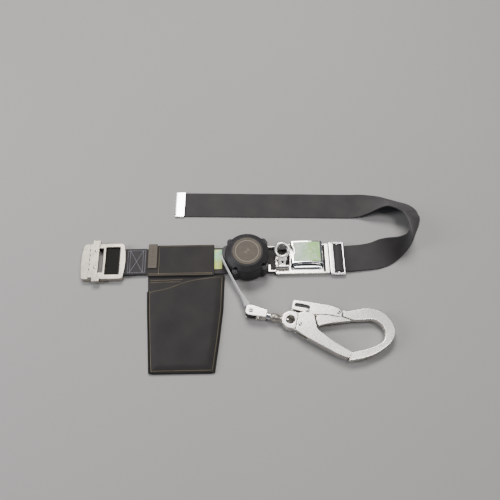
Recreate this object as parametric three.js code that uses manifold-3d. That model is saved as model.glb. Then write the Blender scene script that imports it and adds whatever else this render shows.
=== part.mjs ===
// Belt-worn self retracting lifeline: a locking strap reel, its steel swivel link and snap hook,
// on a work belt with a buckle, a tool pouch and a dee ring connector.
// Millimetres. The reel's axis stands on the origin, the whole lies on z = 0.
// +X runs along the belt away from the buckle, +Y up the wearer's back, +Z away from the wearer.

import * as THREE from 'three';
import { mergeVertices } from 'three/addons/utils/BufferGeometryUtils.js';
import Module from 'manifold-3d';

const wasm = await Module();
wasm.setup();

// ---- driving dimensions -------------------------------------------------------------------

const CLEAR = 0.3; // clearance between touching pieces

const BELT = { width: 50, thick: 2.2, y: 1.5, z: 3.9 };
const HOUSING = { radius: 37.5, wall: 2.6, bottom: 5.6, split: 16, shoulder: 36, top: 45 };
const BADGE = { radius: 25, thick: 1.6 };
const DRUM = { hub: 17.7, flange: 32.5, low: 15, high: 31, plate: 1.4 };
const RATCHET = { teeth: 12, tip: 28, root: 30.5, outer: 33.2, low: 8.4, high: 12.8 };
const STRAP = { width: 15, thick: 1.8, z: 23 };
const ROLLER = { x: -39, y: -2, radius: 3 };
const LINK = { x: 4.9, y: -97.8, z: 11.5, angle: -14.83, eye: 67.6 };
const HOOK = { core: 4.5, bow: 6, gateIn: 4.8, gateOut: 6.9, leverIn: 7.2, leverOut: 9.3, boss: 8 };
const GATE_PIVOT = [24.2, 23];
const LEVER_PIVOT = [16.9, -4.3];
const NOSE_PIN = [75.6, 31.4];
const BUCKLE = { left: -291, right: -213, low: -33, high: 35, top: 12 };
const CONNECTOR = { left: 50, right: 134, low: -27, high: 30 };
const SLIDER = { bar: 160.5, low: -31, high: 34 };
const POUCH = { back: 0.3, sheet: 2, inner: 11.5, outer: 13.5 };

const RAD = Math.PI / 180;

// ---- materials ----------------------------------------------------------------------------

function finish(color, roughness, metalness) {
  return new THREE.MeshStandardMaterial({ color, roughness, metalness });
}

const housingPlastic = finish(0x2d2c30, 0.55, 0);
const badgePlastic = finish(0x6a645b, 0.45, 0.1);
const satinSteel = finish(0xd6d2ca, 0.35, 0.9);
const brightSteel = finish(0xdedfe0, 0.18, 1);
const springSteel = finish(0x8d9094, 0.3, 1);
const brass = finish(0xb79a55, 0.35, 1);
const whiteWebbing = finish(0xdddbd6, 0.85, 0);
const darkWebbing = finish(0x4a4644, 0.9, 0);
const canvas = finish(0x403b38, 0.95, 0);
const blackRubber = finish(0x1d1d1f, 0.7, 0);
const greySleeve = finish(0xb9b8b5, 0.5, 0);
const tagRubber = finish(0x6b6154, 0.7, 0);
const greenLabel = finish(0xcfe6b4, 0.5, 0);
const creamMetal = finish(0xe2ddd2, 0.4, 0.6);

// ---- solids -------------------------------------------------------------------------------

function toSolid(part) {
  if (!part.isBufferGeometry) return part;
  const bare = part.clone();
  bare.deleteAttribute('normal');
  bare.deleteAttribute('uv');
  const merged = mergeVertices(bare, 1e-4);
  return new wasm.Manifold(new wasm.Mesh({
    numProp: 3,
    vertProperties: new Float32Array(merged.attributes.position.array),
    triVerts: new Uint32Array(merged.index.array),
  }));
}

function fromSolid(solid) {
  const mesh = solid.getMesh();
  const geometry = new THREE.BufferGeometry();
  geometry.setAttribute('position', new THREE.BufferAttribute(mesh.vertProperties, 3));
  geometry.setIndex(new THREE.BufferAttribute(mesh.triVerts, 1));
  return geometry;
}

function join(...parts) {
  return parts.map(toSolid).reduce((sum, part) => sum.add(part));
}

function cut(body, ...tools) {
  return tools.map(toSolid).reduce((rest, tool) => rest.subtract(tool), toSolid(body));
}

function prism(shape, low, high, curveSegments = 4) {
  const geometry = new THREE.ExtrudeGeometry(shape, {
    depth: high - low,
    bevelEnabled: false,
    curveSegments,
  });
  return geometry.translate(0, 0, low);
}

function box(x0, x1, y0, y1, z0, z1) {
  const geometry = new THREE.BoxGeometry(x1 - x0, y1 - y0, z1 - z0);
  return geometry.translate((x0 + x1) / 2, (y0 + y1) / 2, (z0 + z1) / 2);
}

function disc(x, y, radius, low, high, sides = 24) {
  const geometry = new THREE.CylinderGeometry(radius, radius, high - low, sides);
  return geometry.rotateX(Math.PI / 2).translate(x, y, (low + high) / 2);
}

function rodX(radius, x0, x1, y, z, sides = 16) {
  const geometry = new THREE.CylinderGeometry(radius, radius, x1 - x0, sides);
  return geometry.rotateZ(Math.PI / 2).translate((x0 + x1) / 2, y, z);
}

function rodY(radius, x, y0, y1, z, sides = 16) {
  const geometry = new THREE.CylinderGeometry(radius, radius, y1 - y0, sides);
  return geometry.translate(x, (y0 + y1) / 2, z);
}

// A closed outline through corners [x, y, reach]; the reach is how far a round takes off a corner.
function outline(corners) {
  const shape = new THREE.Shape();
  const count = corners.length;
  const toward = ([x, y, reach = 0], [tx, ty]) => {
    const share = reach / Math.hypot(tx - x, ty - y);
    return [x + (tx - x) * share, y + (ty - y) * share];
  };
  corners.forEach((corner, i) => {
    const enter = toward(corner, corners[(i + count - 1) % count]);
    const leave = toward(corner, corners[(i + 1) % count]);
    if (i === 0) shape.moveTo(...enter);
    else shape.lineTo(...enter);
    if (corner[2]) shape.quadraticCurveTo(corner[0], corner[1], ...leave);
  });
  shape.closePath();
  return shape;
}

function roundedBox(x0, x1, y0, y1, reach) {
  return outline([[x0, y0, reach], [x1, y0, reach], [x1, y1, reach], [x0, y1, reach]]);
}

function ring(x, y, inner, outer, low, high, sides = 32) {
  return cut(disc(x, y, outer, low, high, sides), disc(x, y, inner, low - 1, high + 1, sides));
}

// A flat strap through stations { at, across, up }: its centre, its edge direction, its face.
function ribbon(stations, width, thick) {
  const points = [];
  for (const { at, across, up } of stations) {
    for (const [side, face] of [[-1, -1], [1, -1], [1, 1], [-1, 1]]) {
      const corner = at.clone();
      corner.addScaledVector(across, side * width / 2);
      corner.addScaledVector(up, face * thick / 2);
      points.push(corner.x, corner.y, corner.z);
    }
  }
  const index = [0, 2, 1, 0, 3, 2];
  for (let s = 0; s < stations.length - 1; s += 1) {
    for (let k = 0; k < 4; k += 1) {
      const a = 4 * s + k;
      const b = 4 * s + (k + 1) % 4;
      index.push(a, b + 4, a + 4, a, b, b + 4);
    }
  }
  const last = 4 * (stations.length - 1);
  index.push(last, last + 1, last + 2, last, last + 2, last + 3);
  const [first, second] = stations;
  const facing = new THREE.Vector3().crossVectors(first.across, first.up);
  if (facing.dot(second.at.clone().sub(first.at)) < 0) index.reverse();
  const geometry = new THREE.BufferGeometry();
  geometry.setAttribute('position', new THREE.BufferAttribute(new Float32Array(points), 3));
  geometry.setIndex(index);
  return geometry;
}

// A coil of round wire about +Z.
function coil(radius, wire, low, high, turns, stepsPerTurn = 14) {
  const Helix = class extends THREE.Curve {
    getPoint(t) {
      const angle = t * turns * 2 * Math.PI;
      return new THREE.Vector3(
        radius * Math.cos(angle), radius * Math.sin(angle), low + t * (high - low));
    }
  };
  const section = new THREE.Shape().absarc(0, 0, wire, 0, 2 * Math.PI);
  return new THREE.ExtrudeGeometry(section, {
    steps: Math.round(turns * stepsPerTurn),
    curveSegments: 3,
    extrudePath: new Helix(),
  });
}

// ---- assembly tree ------------------------------------------------------------------------

const lifeline = new THREE.Group();

const linkFrame = new THREE.Group(); // origin on the link pin, +X along the link to the hook
linkFrame.position.set(LINK.x, LINK.y, LINK.z);
linkFrame.rotation.z = LINK.angle * RAD;
lifeline.add(linkFrame);

const hookFrame = new THREE.Group(); // origin in the hook's eye
hookFrame.position.x = LINK.eye;
linkFrame.add(hookFrame);

const strapStart = new THREE.Vector2(
  ROLLER.x - (ROLLER.radius + 1.3) * 0.89, ROLLER.y - (ROLLER.radius + 1.3) * 0.45);
const strapRun = new THREE.Vector2(LINK.x, LINK.y).sub(strapStart);

const eyeFrame = new THREE.Group(); // origin on the link pin, +X back along the strap
eyeFrame.position.set(LINK.x, LINK.y, LINK.z);
eyeFrame.rotation.z = Math.atan2(-strapRun.y, -strapRun.x);
lifeline.add(eyeFrame);

function add(group, name, part, material) {
  const geometry = part.isBufferGeometry ? part : fromSolid(part);
  const mesh = new THREE.Mesh(geometry, material);
  mesh.name = name;
  group.add(mesh);
}

// ---- reel housing -------------------------------------------------------------------------

const LUGS = [[-28.5, 23.5], [28, 24], [-20, -31], [28, -24]];

function housingOutline(inset) {
  const radius = HOUSING.radius - inset;
  const round = disc(0, 0, radius, 0, 1, 48);
  const lugs = LUGS.map(([x, y]) => disc(x, y, 6 - inset, 0, 1, 16));
  const boss = prism(outline([
    [-43.4 + inset, 0.6], [-42.6 + inset, -0.9 + inset / 2], [-33.8 + inset, -17 + inset],
    [-20, -17], [-20, 20 - inset], [-37, 17 - inset, 3], [-43.4 + inset, 12 - inset, 3],
  ]), 0, 1);
  const flat = box(0, 35.8 - inset, -24 + inset, 24 - inset, 0, 1);
  const webs = box(-26, 28, -28 + inset, 28 - inset, 0, 1);
  return join(round, ...lugs, boss, flat, webs);
}

function slab(profile, low, high) {
  return profile.scale([1, 1, high - low]).translate([0, 0, low]);
}

function strapMouth() {
  const slot = box(-60, -26, -30, 4.5, STRAP.z - 8.6, STRAP.z + 8.6);
  const keep = box(-34.2, 0, -40, 40, 0, 60);
  return join(cut(slot, keep), disc(ROLLER.x, ROLLER.y, 1.7, 9.6, 32.6, 12));
}

function screwHoles(radius, low, high) {
  return LUGS.map(([x, y]) => disc(x, y, radius, low, high, 12));
}

function rearCover() {
  const floor = HOUSING.bottom + 2.2;
  return cut(
    slab(housingOutline(0), HOUSING.bottom, HOUSING.split),
    cut(slab(housingOutline(HOUSING.wall), floor, HOUSING.split + 1),
      ...LUGS.map(([x, y]) => disc(x, y, 3.2, 0, 60, 16))),
    strapMouth(),
    disc(0, 0, 6.3, 0, 20, 24),
    ...screwHoles(1.9, HOUSING.bottom - 1, HOUSING.split + 1),
  );
}

function frontCover() {
  const low = HOUSING.split + CLEAR;
  const rim = slab(housingOutline(0), low, 33.6);
  const shoulder = disc(0, 0, HOUSING.radius, 30, HOUSING.shoulder, 48);
  const crown = new THREE.CylinderGeometry(
    BADGE.radius + 2, HOUSING.radius, HOUSING.top - HOUSING.shoulder, 48);
  crown.rotateX(Math.PI / 2).translate(0, 0, (HOUSING.top + HOUSING.shoulder) / 2);
  const hollow = join(
    disc(0, 0, HOUSING.radius - HOUSING.wall, low - 1, 34, 48),
    disc(0, 0, HOUSING.radius - 6, 33, 41, 48),
    cut(slab(housingOutline(HOUSING.wall), low - 1, 31.4),
      ...LUGS.map(([x, y]) => disc(x, y, 3.2, 0, 60, 16))),
  );
  return cut(
    join(rim, shoulder, crown),
    hollow,
    strapMouth(),
    disc(0, 0, BADGE.radius + CLEAR, HOUSING.top - 1.2, HOUSING.top + 1, 48),
    ...screwHoles(1.9, low - 1, 40),
    ...screwHoles(3.6, 32.6, 40),
  );
}

function housingParts() {
  const plate = cut(
    prism(roundedBox(-30, 30, -24.5, 27.5, 6), 0, BELT.z - BELT.thick / 2 - CLEAR),
    ...[[-24, -20], [24, -20], [-24, 23], [24, 23]].map(([x, y]) => disc(x, y, 1.6, -1, 5, 12)),
  );
  add(lifeline, 'belt_plate', plate, housingPlastic);
  add(lifeline, 'rear_cover', rearCover(), housingPlastic);
  add(lifeline, 'front_cover', frontCover(), housingPlastic);
  const badgeLow = HOUSING.top - 1.2 + CLEAR;
  add(lifeline, 'cover_badge',
    disc(0, 0, BADGE.radius, badgeLow, badgeLow + BADGE.thick, 48), badgePlastic);
  LUGS.forEach(([x, y], i) => {
    const screw = join(disc(x, y, 1.6, 7, 33, 12), disc(x, y, 3.3, 32.9, 34.6, 16));
    const hex = disc(x, y, 1.3, 33.6, 36, 6);
    add(lifeline, `housing_screw_${i + 1}`, cut(screw, hex), springSteel);
  });
}

// ---- reel, lock and spring ----------------------------------------------------------------

function lockRing() {
  const { teeth, tip, root, outer, low, high } = RATCHET;
  const toothShape = outline([
    [root + 0.5, -3.4], [root + 0.5, 3.2], [tip, 2.4], [tip, 1.2],
  ]);
  const blanks = [];
  for (let i = 0; i < teeth; i += 1) {
    const tooth = prism(toothShape, low, high);
    blanks.push(tooth.rotateZ((i + 0.5) * 2 * Math.PI / teeth));
  }
  return join(ring(0, 0, root, outer, low, high, 48), ...blanks);
}

function drum() {
  const { hub, flange, low, high, plate } = DRUM;
  const body = join(
    disc(0, 0, flange, low - plate, low, 48),
    disc(0, 0, hub, low - plate, high + plate, 40),
    disc(0, 0, flange, high, high + plate, 48),
  );
  const windows = [0, 1, 2].map((i) => {
    const angle = (i + 0.5) * 120 * RAD;
    return disc(12 * Math.cos(angle), 12 * Math.sin(angle), 3.2, low - 5, high + 5, 12);
  });
  return cut(body, disc(0, 0, 4.3, low - 5, high + 5, 24), ...windows);
}

function pawlPlace(sign) {
  return [sign * 17, sign * -6];
}

function pawl(sign) {
  const shape = outline([
    [13.4, -9.5, 2], [20, -9, 2], [26.6, -1.4], [27.2, 1.2], [24.8, 1.6, 1],
    [17.5, -1.6, 2], [13.4, -2.6, 2],
  ]);
  const blank = prism(shape, 8.9, 12.4);
  if (sign < 0) blank.rotateZ(Math.PI);
  return cut(blank, disc(...pawlPlace(sign), 1.5, 0, 20, 12));
}

function powerSpring() {
  const turns = 5;
  const steps = turns * 14;
  const stations = [];
  for (let i = 0; i <= steps; i += 1) {
    const angle = i / steps * turns * 2 * Math.PI;
    const radius = 7.5 + 18 * i / steps;
    const out = new THREE.Vector3(Math.cos(angle), Math.sin(angle), 0);
    stations.push({
      at: out.clone().multiplyScalar(radius).setZ(36.6),
      across: new THREE.Vector3(0, 0, 1),
      up: out,
    });
  }
  return ribbon(stations, 4.6, 0.7);
}

function reelParts() {
  add(lifeline, 'lock_ring', lockRing(), springSteel);
  add(lifeline, 'drum', drum(), housingPlastic);
  add(lifeline, 'drum_shaft', join(
    disc(0, 0, 4, 7, 39.4, 24), disc(0, 0, 6, 13.2 - 2.6, 13.2, 24)), springSteel);
  const roll = ring(0, 0, DRUM.hub + CLEAR, 30.5, DRUM.low + 0.5, DRUM.high - 0.5, 48);
  add(lifeline, 'lifeline_roll', roll, whiteWebbing);
  add(lifeline, 'rear_bush', ring(0, 0, 4.05, 6, 6, 10, 24), brass);
  add(lifeline, 'spring_case', cut(
    disc(0, 0, 30, 33, 40.4, 40), disc(0, 0, 28.4, 34, 42, 40), disc(0, 0, 6.2, 30, 50, 24),
  ), housingPlastic);
  add(lifeline, 'power_spring', powerSpring(), springSteel);
  add(lifeline, 'front_bush', ring(0, 0, 4.05, 5.9, 32.8, 34.6, 24), brass);
  for (const [letter, sign] of [['a', 1], ['b', -1]]) {
    const [x, y] = pawlPlace(sign);
    add(lifeline, `pawl_${letter}`, pawl(sign), springSteel);
    add(lifeline, `pawl_pin_${letter}`, disc(x, y, 1.2, 8.7, 13.3, 12), springSteel);
  }
}

// ---- strap and its guide ------------------------------------------------------------------

function strapFeed() {
  const roll = 31.4; // where the strap leaves the wound roll
  const toRoller = Math.hypot(ROLLER.x, ROLLER.y);
  const wrap = ROLLER.radius + 1.3;
  const bearing = Math.atan2(ROLLER.y, ROLLER.x);
  const lean = Math.acos((roll - wrap) / toRoller);
  const leave = bearing - lean;
  const level = new THREE.Vector3(0, 0, 1);
  const stations = [];
  const place = (x, y, angle, z) => stations.push({
    at: new THREE.Vector3(x, y, z),
    across: level,
    up: new THREE.Vector3(Math.cos(angle), Math.sin(angle), 0),
  });
  place(roll * Math.cos(leave), roll * Math.sin(leave), leave, STRAP.z);
  const runOut = Math.atan2(strapRun.y, strapRun.x) - Math.PI / 2;
  const last = runOut + (runOut < leave - Math.PI ? 2 * Math.PI : 0);
  for (let i = 0; i <= 5; i += 1) {
    const angle = leave + (last - leave) * i / 5;
    place(ROLLER.x + wrap * Math.cos(angle), ROLLER.y + wrap * Math.sin(angle), angle, STRAP.z);
  }
  const free = strapRun.length();
  for (const distance of [16, 32, 48, free - 34.4]) {
    const t = distance / free;
    place(
      strapStart.x + strapRun.x * t, strapStart.y + strapRun.y * t, last,
      STRAP.z + (LINK.z - STRAP.z) * Math.min(1, distance / (free - 36)));
  }
  return ribbon(stations, STRAP.width, STRAP.thick);
}

function strapLoop(inner, half) {
  const shape = new THREE.Shape();
  shape.moveTo(34, -half);
  shape.lineTo(34, half);
  shape.lineTo(21, half);
  shape.absarc(0, 0, inner + 2, 75 * RAD, 285 * RAD);
  shape.lineTo(21, -half);
  shape.closePath();
  const eye = new THREE.Path();
  eye.absarc(0, 0, inner, 78 * RAD, 282 * RAD);
  eye.lineTo(18, 0);
  eye.closePath();
  shape.holes.push(eye);
  return prism(shape, -STRAP.width / 2, STRAP.width / 2, 18);
}

function stitchSleeve() {
  const outer = outline([[10.8, -6.7, 1], [10.8, 6.7, 1], [33, 3.1, 1], [33, -3.1, 1]]);
  const inner = outline([[5, -6.8], [5, 6.8], [22, 2.4], [36, 2.4], [36, -2.4], [22, -2.4]]);
  return cut(prism(outer, -9, 9), prism(inner, -7.8, 7.8));
}

function eyeGuard() {
  const shell = ring(0, 0, 6.3, 10.4, -6.4, 6.4, 32);
  return cut(shell, prism(outline([[0, 0], [20, -30], [20, 30]]), -9, 9));
}

function strapParts() {
  add(lifeline, 'guide_pin', disc(ROLLER.x, ROLLER.y, 1.4, 10, 32.2, 12), springSteel);
  add(lifeline, 'guide_roller',
    ring(ROLLER.x, ROLLER.y, 1.7, ROLLER.radius, STRAP.z - 8, STRAP.z + 8, 20), brightSteel);
  add(lifeline, 'lifeline_strap', strapFeed(), whiteWebbing);
  add(eyeFrame, 'strap_eye', strapLoop(3.4, 2), whiteWebbing);
  add(eyeFrame, 'stitch_sleeve', stitchSleeve(), greySleeve);
  add(eyeFrame, 'eye_guard', eyeGuard(), blackRubber);
}

// ---- link and swivel ----------------------------------------------------------------------

function clevis() {
  const cheek = outline([
    [-8.6, -8.6, 6.5], [2, -8.8, 4], [20, -6.8, 2], [27, -6.4, 2],
    [27, 6.4, 2], [20, 6.8, 2], [2, 8.8, 4], [-8.6, 8.6, 6.5],
  ]);
  const gap = outline([[-12, -12], [19.4, -12], [19.4, 12], [-12, 12]]);
  return cut(
    prism(cheek, -10.3, 10.3),
    prism(gap, -7.9, 7.9),
    disc(0, 0, 3.1, -20, 20, 20),
    rodX(3.5, 10, 40, 0, 0, 20),
  );
}

function swivelBall() {
  const profile = [
    [0, 34.2], [4.6, 34.2], [6.4, 36.6], [7, 41], [6.3, 45.4], [4.6, 49], [4.4, 53], [0, 53],
  ];
  const body = new THREE.LatheGeometry(profile.map(([r, u]) => new THREE.Vector2(r, u)), 24);
  body.rotateZ(-Math.PI / 2);
  const dimples = [-1, 0, 1].map((i) => {
    const angle = i * 50 * RAD;
    const dimple = new THREE.SphereGeometry(1.3, 8, 6);
    return dimple.translate(40.5, 7.2 * Math.sin(angle), 7.2 * Math.cos(angle));
  });
  return cut(body, rodX(3.5, 30, 60, 0, 0, 20), ...dimples);
}

function linkParts() {
  add(linkFrame, 'link_clevis', clevis(), satinSteel);
  add(linkFrame, 'link_pin', join(
    disc(0, 0, 2.8, -11, 11, 20), disc(0, 0, 4, 10.6, 11.6, 20), disc(0, 0, 4, -11.4, -10.6, 20)),
  brightSteel);
  add(linkFrame, 'swivel_washer', cut(
    rodX(6, 27.3, 33.8, 0, 0, 24), rodX(3.5, 20, 40, 0, 0, 20)), brightSteel);
  add(linkFrame, 'swivel_ball', swivelBall(), creamMetal);
  add(linkFrame, 'swivel_stud', join(
    rodX(3.2, 16, 63, 0, 0, 20), rodX(5, 14.6, 18.6, 0, 0, 20), rodX(3.9, 61.9, 64.2, 0, 0, 20)),
  brightSteel);
}

// ---- snap hook ----------------------------------------------------------------------------

function smooth(shape, ...points) {
  shape.splineThru(points.map(([x, y]) => new THREE.Vector2(x, y)));
}

function bowOutline() {
  const shape = new THREE.Shape();
  shape.moveTo(84.2, 26.4);
  shape.lineTo(83.8, 31.2);
  shape.lineTo(79.8, 37.6);
  shape.lineTo(82, 37.9);
  smooth(shape, [91, 38.4], [103, 43.6], [121, 51.2], [140, 52.4], [156, 45.6], [168.4, 33],
    [172.4, 17.5], [167.4, 0], [151, -19.5], [131, -34], [110, -43.5]);
  shape.lineTo(106, -44);
  shape.lineTo(106, -31.4);
  smooth(shape, [129, -20.4], [147.6, -8], [156.6, 4], [155.4, 19], [147, 29], [133, 33.2],
    [116, 28.6], [101, 24.6]);
  shape.closePath();
  return shape;
}

function headOutline() {
  return outline([
    [-9, -12, 3], [-12, 0], [-6, 12, 3], [12, 16], [16.5, 28, 5], [30, 30, 5], [32, 17, 4],
    [27, 4], [27, -12, 3], [55, -16, 2], [75, -23], [107, -32.6], [107, -36.2],
    [88, -32.2], [60, -26.2], [30, -19.6, 4], [10, -15, 4],
  ]);
}

function hookBody() {
  const boss = cut(
    prism(outline([
      [-14.2, -7, 4], [-14.2, 7, 4], [-4, 15.4, 4], [9, 14.4, 3], [15, 0, 2], [9, -14.6, 3],
      [-4, -15.2, 4],
    ]), -HOOK.boss, HOOK.boss),
    box(11, 40, -40, 40, HOOK.core, 20),
    box(11, 40, -40, 40, -20, -HOOK.core),
  );
  return cut(
    join(
      prism(headOutline(), -HOOK.core, HOOK.core),
      prism(bowOutline(), -HOOK.bow, HOOK.bow, 3),
      boss,
    ),
    disc(0, 0, 7.6, -20, 20, 32),
    rodX(3.5, -20, 0, 0, 0, 20),
    disc(...GATE_PIVOT, 2.4, -20, 20, 16),
    disc(...LEVER_PIVOT, 2.4, -20, 20, 16),
    disc(...GATE_PIVOT, 5.6, 0.6, 20, 24),
    leverSpringPocket(),
  );
}

function leverSpringPocket() {
  const pocket = new THREE.CylinderGeometry(3, 3, 9.2, 12);
  return pocket.rotateZ(15 * RAD).translate(80, -31.9, 0);
}

function gateCheek() {
  return outline([
    [-2.2, 19.6, 3], [-2.2, 35.6, 4], [26, 38.2, 6], [64, 40.6, 8], [77, 37.6, 4],
    [82.4, 30, 3], [79, 25, 2], [55, 23.6, 6], [37, 18.6, 4], [20, 18.4, 3],
  ]);
}

function gateFinger() {
  return outline([
    [40.8, 12, 1], [47, 1.6, 1], [61, 9.6, 6], [88, 19.6, 8], [98, 23], [98.6, 24], [84, 25.6],
    [79, 28, 1], [55, 27, 4], [42, 24, 2],
  ]);
}

function gateSlot() {
  return outline([
    [1.4, 24.4, 2.8], [14, 25.8, 8], [28.6, 26.6, 2.2], [26.6, 31.4, 2.4], [14, 32.4, 8],
    [1, 30.8, 2.8],
  ]);
}

function hookGate() {
  return cut(
    join(
      prism(gateCheek(), HOOK.gateIn, HOOK.gateOut),
      prism(gateCheek(), -HOOK.gateOut, -HOOK.gateIn),
      prism(gateFinger(), -HOOK.gateIn - 0.2, HOOK.gateIn + 0.2),
    ),
    prism(gateSlot(), -20, 20),
    disc(...GATE_PIVOT, 2.4, -20, 20, 16),
    disc(...NOSE_PIN, 2.2, -20, 20, 16),
  );
}

function leverCheek() {
  return outline([
    [11.5, -15.6, 3], [11.5, 14.2, 3], [20, 19, 2], [36.6, 18, 3], [40, 9], [46.6, -5.8, 4],
    [76, -20.4, 10], [107.6, -30.4, 2], [105.6, -42, 3], [86, -39.6, 8], [27, -22.4, 8],
  ]);
}

function hookLever() {
  const spine = outline([
    [34, -24.2], [64, -33], [86, -39.4, 6], [104, -41.6], [104, -39.4], [86, -37], [64, -30.6],
    [34, -22.2],
  ]);
  return cut(
    join(
      prism(leverCheek(), HOOK.leverIn, HOOK.leverOut),
      prism(leverCheek(), -HOOK.leverOut, -HOOK.leverIn),
      prism(spine, -HOOK.leverIn - 0.2, HOOK.leverIn + 0.2),
    ),
    disc(...LEVER_PIVOT, 2.4, -20, 20, 16),
  );
}

function rivet([x, y], shank, reach) {
  return join(
    disc(x, y, shank, -reach - 0.4, reach + 0.4, 16),
    disc(x, y, shank + 1.2, reach + CLEAR, reach + 1.3, 16),
    disc(x, y, shank + 1.2, -reach - 1.3, -reach - CLEAR, 16),
  );
}

function hookParts() {
  add(hookFrame, 'hook_body', hookBody(), satinSteel);
  add(hookFrame, 'hook_gate', hookGate(), satinSteel);
  add(hookFrame, 'hook_lever', hookLever(), satinSteel);
  add(hookFrame, 'gate_rivet', rivet(GATE_PIVOT, 2, HOOK.gateOut), brightSteel);
  add(hookFrame, 'lever_rivet', rivet(LEVER_PIVOT, 2, HOOK.leverOut), brightSteel);
  add(hookFrame, 'nose_pin', rivet(NOSE_PIN, 1.8, HOOK.gateOut), brightSteel);
  const gateSpring = coil(3.9, 0.55, 1.5, 3.7, 1.8);
  add(hookFrame, 'gate_spring', gateSpring.translate(...GATE_PIVOT, 0), springSteel);
  const leverSpring = coil(2.1, 0.4, -3.2, 2.7, 4, 10);
  leverSpring.rotateX(Math.PI / 2).rotateZ(15 * RAD).translate(80, -31.1, 0);
  add(hookFrame, 'lever_spring', leverSpring, springSteel);
}

// ---- belt ---------------------------------------------------------------------------------

const ALONG_Y = new THREE.Vector3(0, 1, 0);

// The belt's end, turned round the buckle's rod and laid back on itself.
function anchorLoop() {
  const rod = { x: -243, z: 5.3, radius: 3.5 };
  const side = [[-177, 6.5], [-226, 6.5], [-235, 7.6]];
  for (let i = 0; i <= 8; i += 1) {
    const angle = (90 + i * 22.5) * RAD;
    side.push([rod.x + rod.radius * Math.cos(angle), rod.z + rod.radius * Math.sin(angle)]);
  }
  side.push([-235, 2.8], [-226, BELT.z]);
  return side;
}

// The belt's run through the slider: up over the middle bar and down again.
function sliderHump() {
  const side = [];
  for (let i = 0; i <= 12; i += 1) {
    const x = SLIDER.bar - 8 + i * 16 / 12;
    const rise = 5.2 * 0.5 * (1 + Math.cos(Math.PI * (x - SLIDER.bar) / 8));
    side.push([x, BELT.z + rise]);
  }
  return side;
}

// The free tail's turn: its outer edge on the ground and its raised inner edge, pair by pair.
const TAIL_TURN = [
  [[180, -23], [178, 27, 0]], [[212, -20.5], [208, 29.3, 1.5]], [[236, -17], [226, 30, 10]],
  [[256, -9], [240, 26, 30]], [[274, 5], [259, 22, 44]], [[288, 20], [276, 27, 48]],
  [[298, 35], [283, 42, 47]], [[306, 52], [281, 62, 42]], [[314, 68], [279, 76, 35]],
  [[318, 84], [279.5, 80, 31.5]], [[312, 100], [280, 78, 31.5]], [[299, 111], [276, 80, 32]],
  [[282, 117], [266, 85, 35]], [[265, 123], [252, 89.5, 34.5]], [[247, 129], [237, 88, 27]],
  [[230, 132], [223.5, 85.5, 17]], [[212, 134], [207, 85, 5]], [[192, 134.2], [190, 84.3, 0]],
];

function tailStations() {
  const outer = new THREE.CatmullRomCurve3(TAIL_TURN.map(([[x, y]]) => new THREE.Vector3(x, y, 0)));
  const inner = new THREE.CatmullRomCurve3(TAIL_TURN.map(([, rim]) => new THREE.Vector3(...rim)));
  const stations = [];
  const steps = 51;
  for (let i = 0; i <= steps; i += 1) {
    const t = i / steps;
    const across = inner.getPoint(t).sub(outer.getPoint(t));
    across.z = Math.max(0, across.z);
    across.normalize();
    const run = inner.getTangent(t).add(outer.getTangent(t));
    const up = new THREE.Vector3().crossVectors(run, across).normalize();
    const at = outer.getPoint(t).addScaledVector(across, BELT.width / 2);
    const settle = BELT.thick / 2 + (BELT.z - BELT.thick / 2) * Math.max(0, 1 - 7 * t);
    at.z += Math.abs(up.z) * settle + 0.2 * across.z;
    stations.push({ at, across, up });
  }
  return stations;
}

function beltStations() {
  const side = [...anchorLoop(), [-60, BELT.z], [60, BELT.z], ...sliderHump(), [173, BELT.z]];
  const stations = side.map(([x, z], i) => {
    const [px, pz] = side[Math.max(0, i - 1)];
    const [nx, nz] = side[Math.min(side.length - 1, i + 1)];
    const run = new THREE.Vector3(nx - px, 0, nz - pz).normalize();
    return {
      at: new THREE.Vector3(x, BELT.y, z),
      across: ALONG_Y,
      up: new THREE.Vector3().crossVectors(run, ALONG_Y),
    };
  });
  stations.push(...tailStations());
  const tip = { across: new THREE.Vector3(-0.031, -0.9995, 0), up: new THREE.Vector3(0, 0, 1) };
  stations.push({ at: new THREE.Vector3(-124.4, 118.5, BELT.thick / 2), ...tip });
  return stations;
}

function beltTip() {
  const shell = prism(roundedBox(-131.5, -114.5, -26.2, 26.2, 2), 0, 4.2);
  const slot = box(-126.5, -100, -25.4, 25.4, -1 + 0.5, 2.6);
  const folded = cut(shell, slot);
  return folded.rotate([0, 0, -1.78]).translate([1.2, 114.7, 0]);
}

function beltParts() {
  add(lifeline, 'belt_webbing', ribbon(beltStations(), BELT.width, BELT.thick), darkWebbing);
  add(lifeline, 'belt_tip', beltTip(), brightSteel);
  add(lifeline, 'belt_label', box(-57.6, -44, -15, 22.6, 5.3, 6), greenLabel);
}

// ---- buckle -------------------------------------------------------------------------------

function buckleFrame() {
  const { left, right, low, high, top } = BUCKLE;
  const rim = outline([
    [left + 3, low, 6], [right - 4, low, 6], [right + 2, (low + high) / 2, 26], [right - 4, high, 6],
    [left + 3, high, 6], [left - 2, (low + high) / 2, 26],
  ]);
  const clampWindow = box(-274, -252.8, -20, 26, -1, 20);
  const strapWindow = box(-248.4, -223.4, -24.5, 28, -1, 20);
  const strapPath = box(-249, -190, -24.5, 28, -1, 8.3);
  return join(
    cut(prism(rim, 0, top, 10), clampWindow, strapWindow, strapPath),
    rodY(2, -243, -28, 32, 5.3),
  );
}

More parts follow.
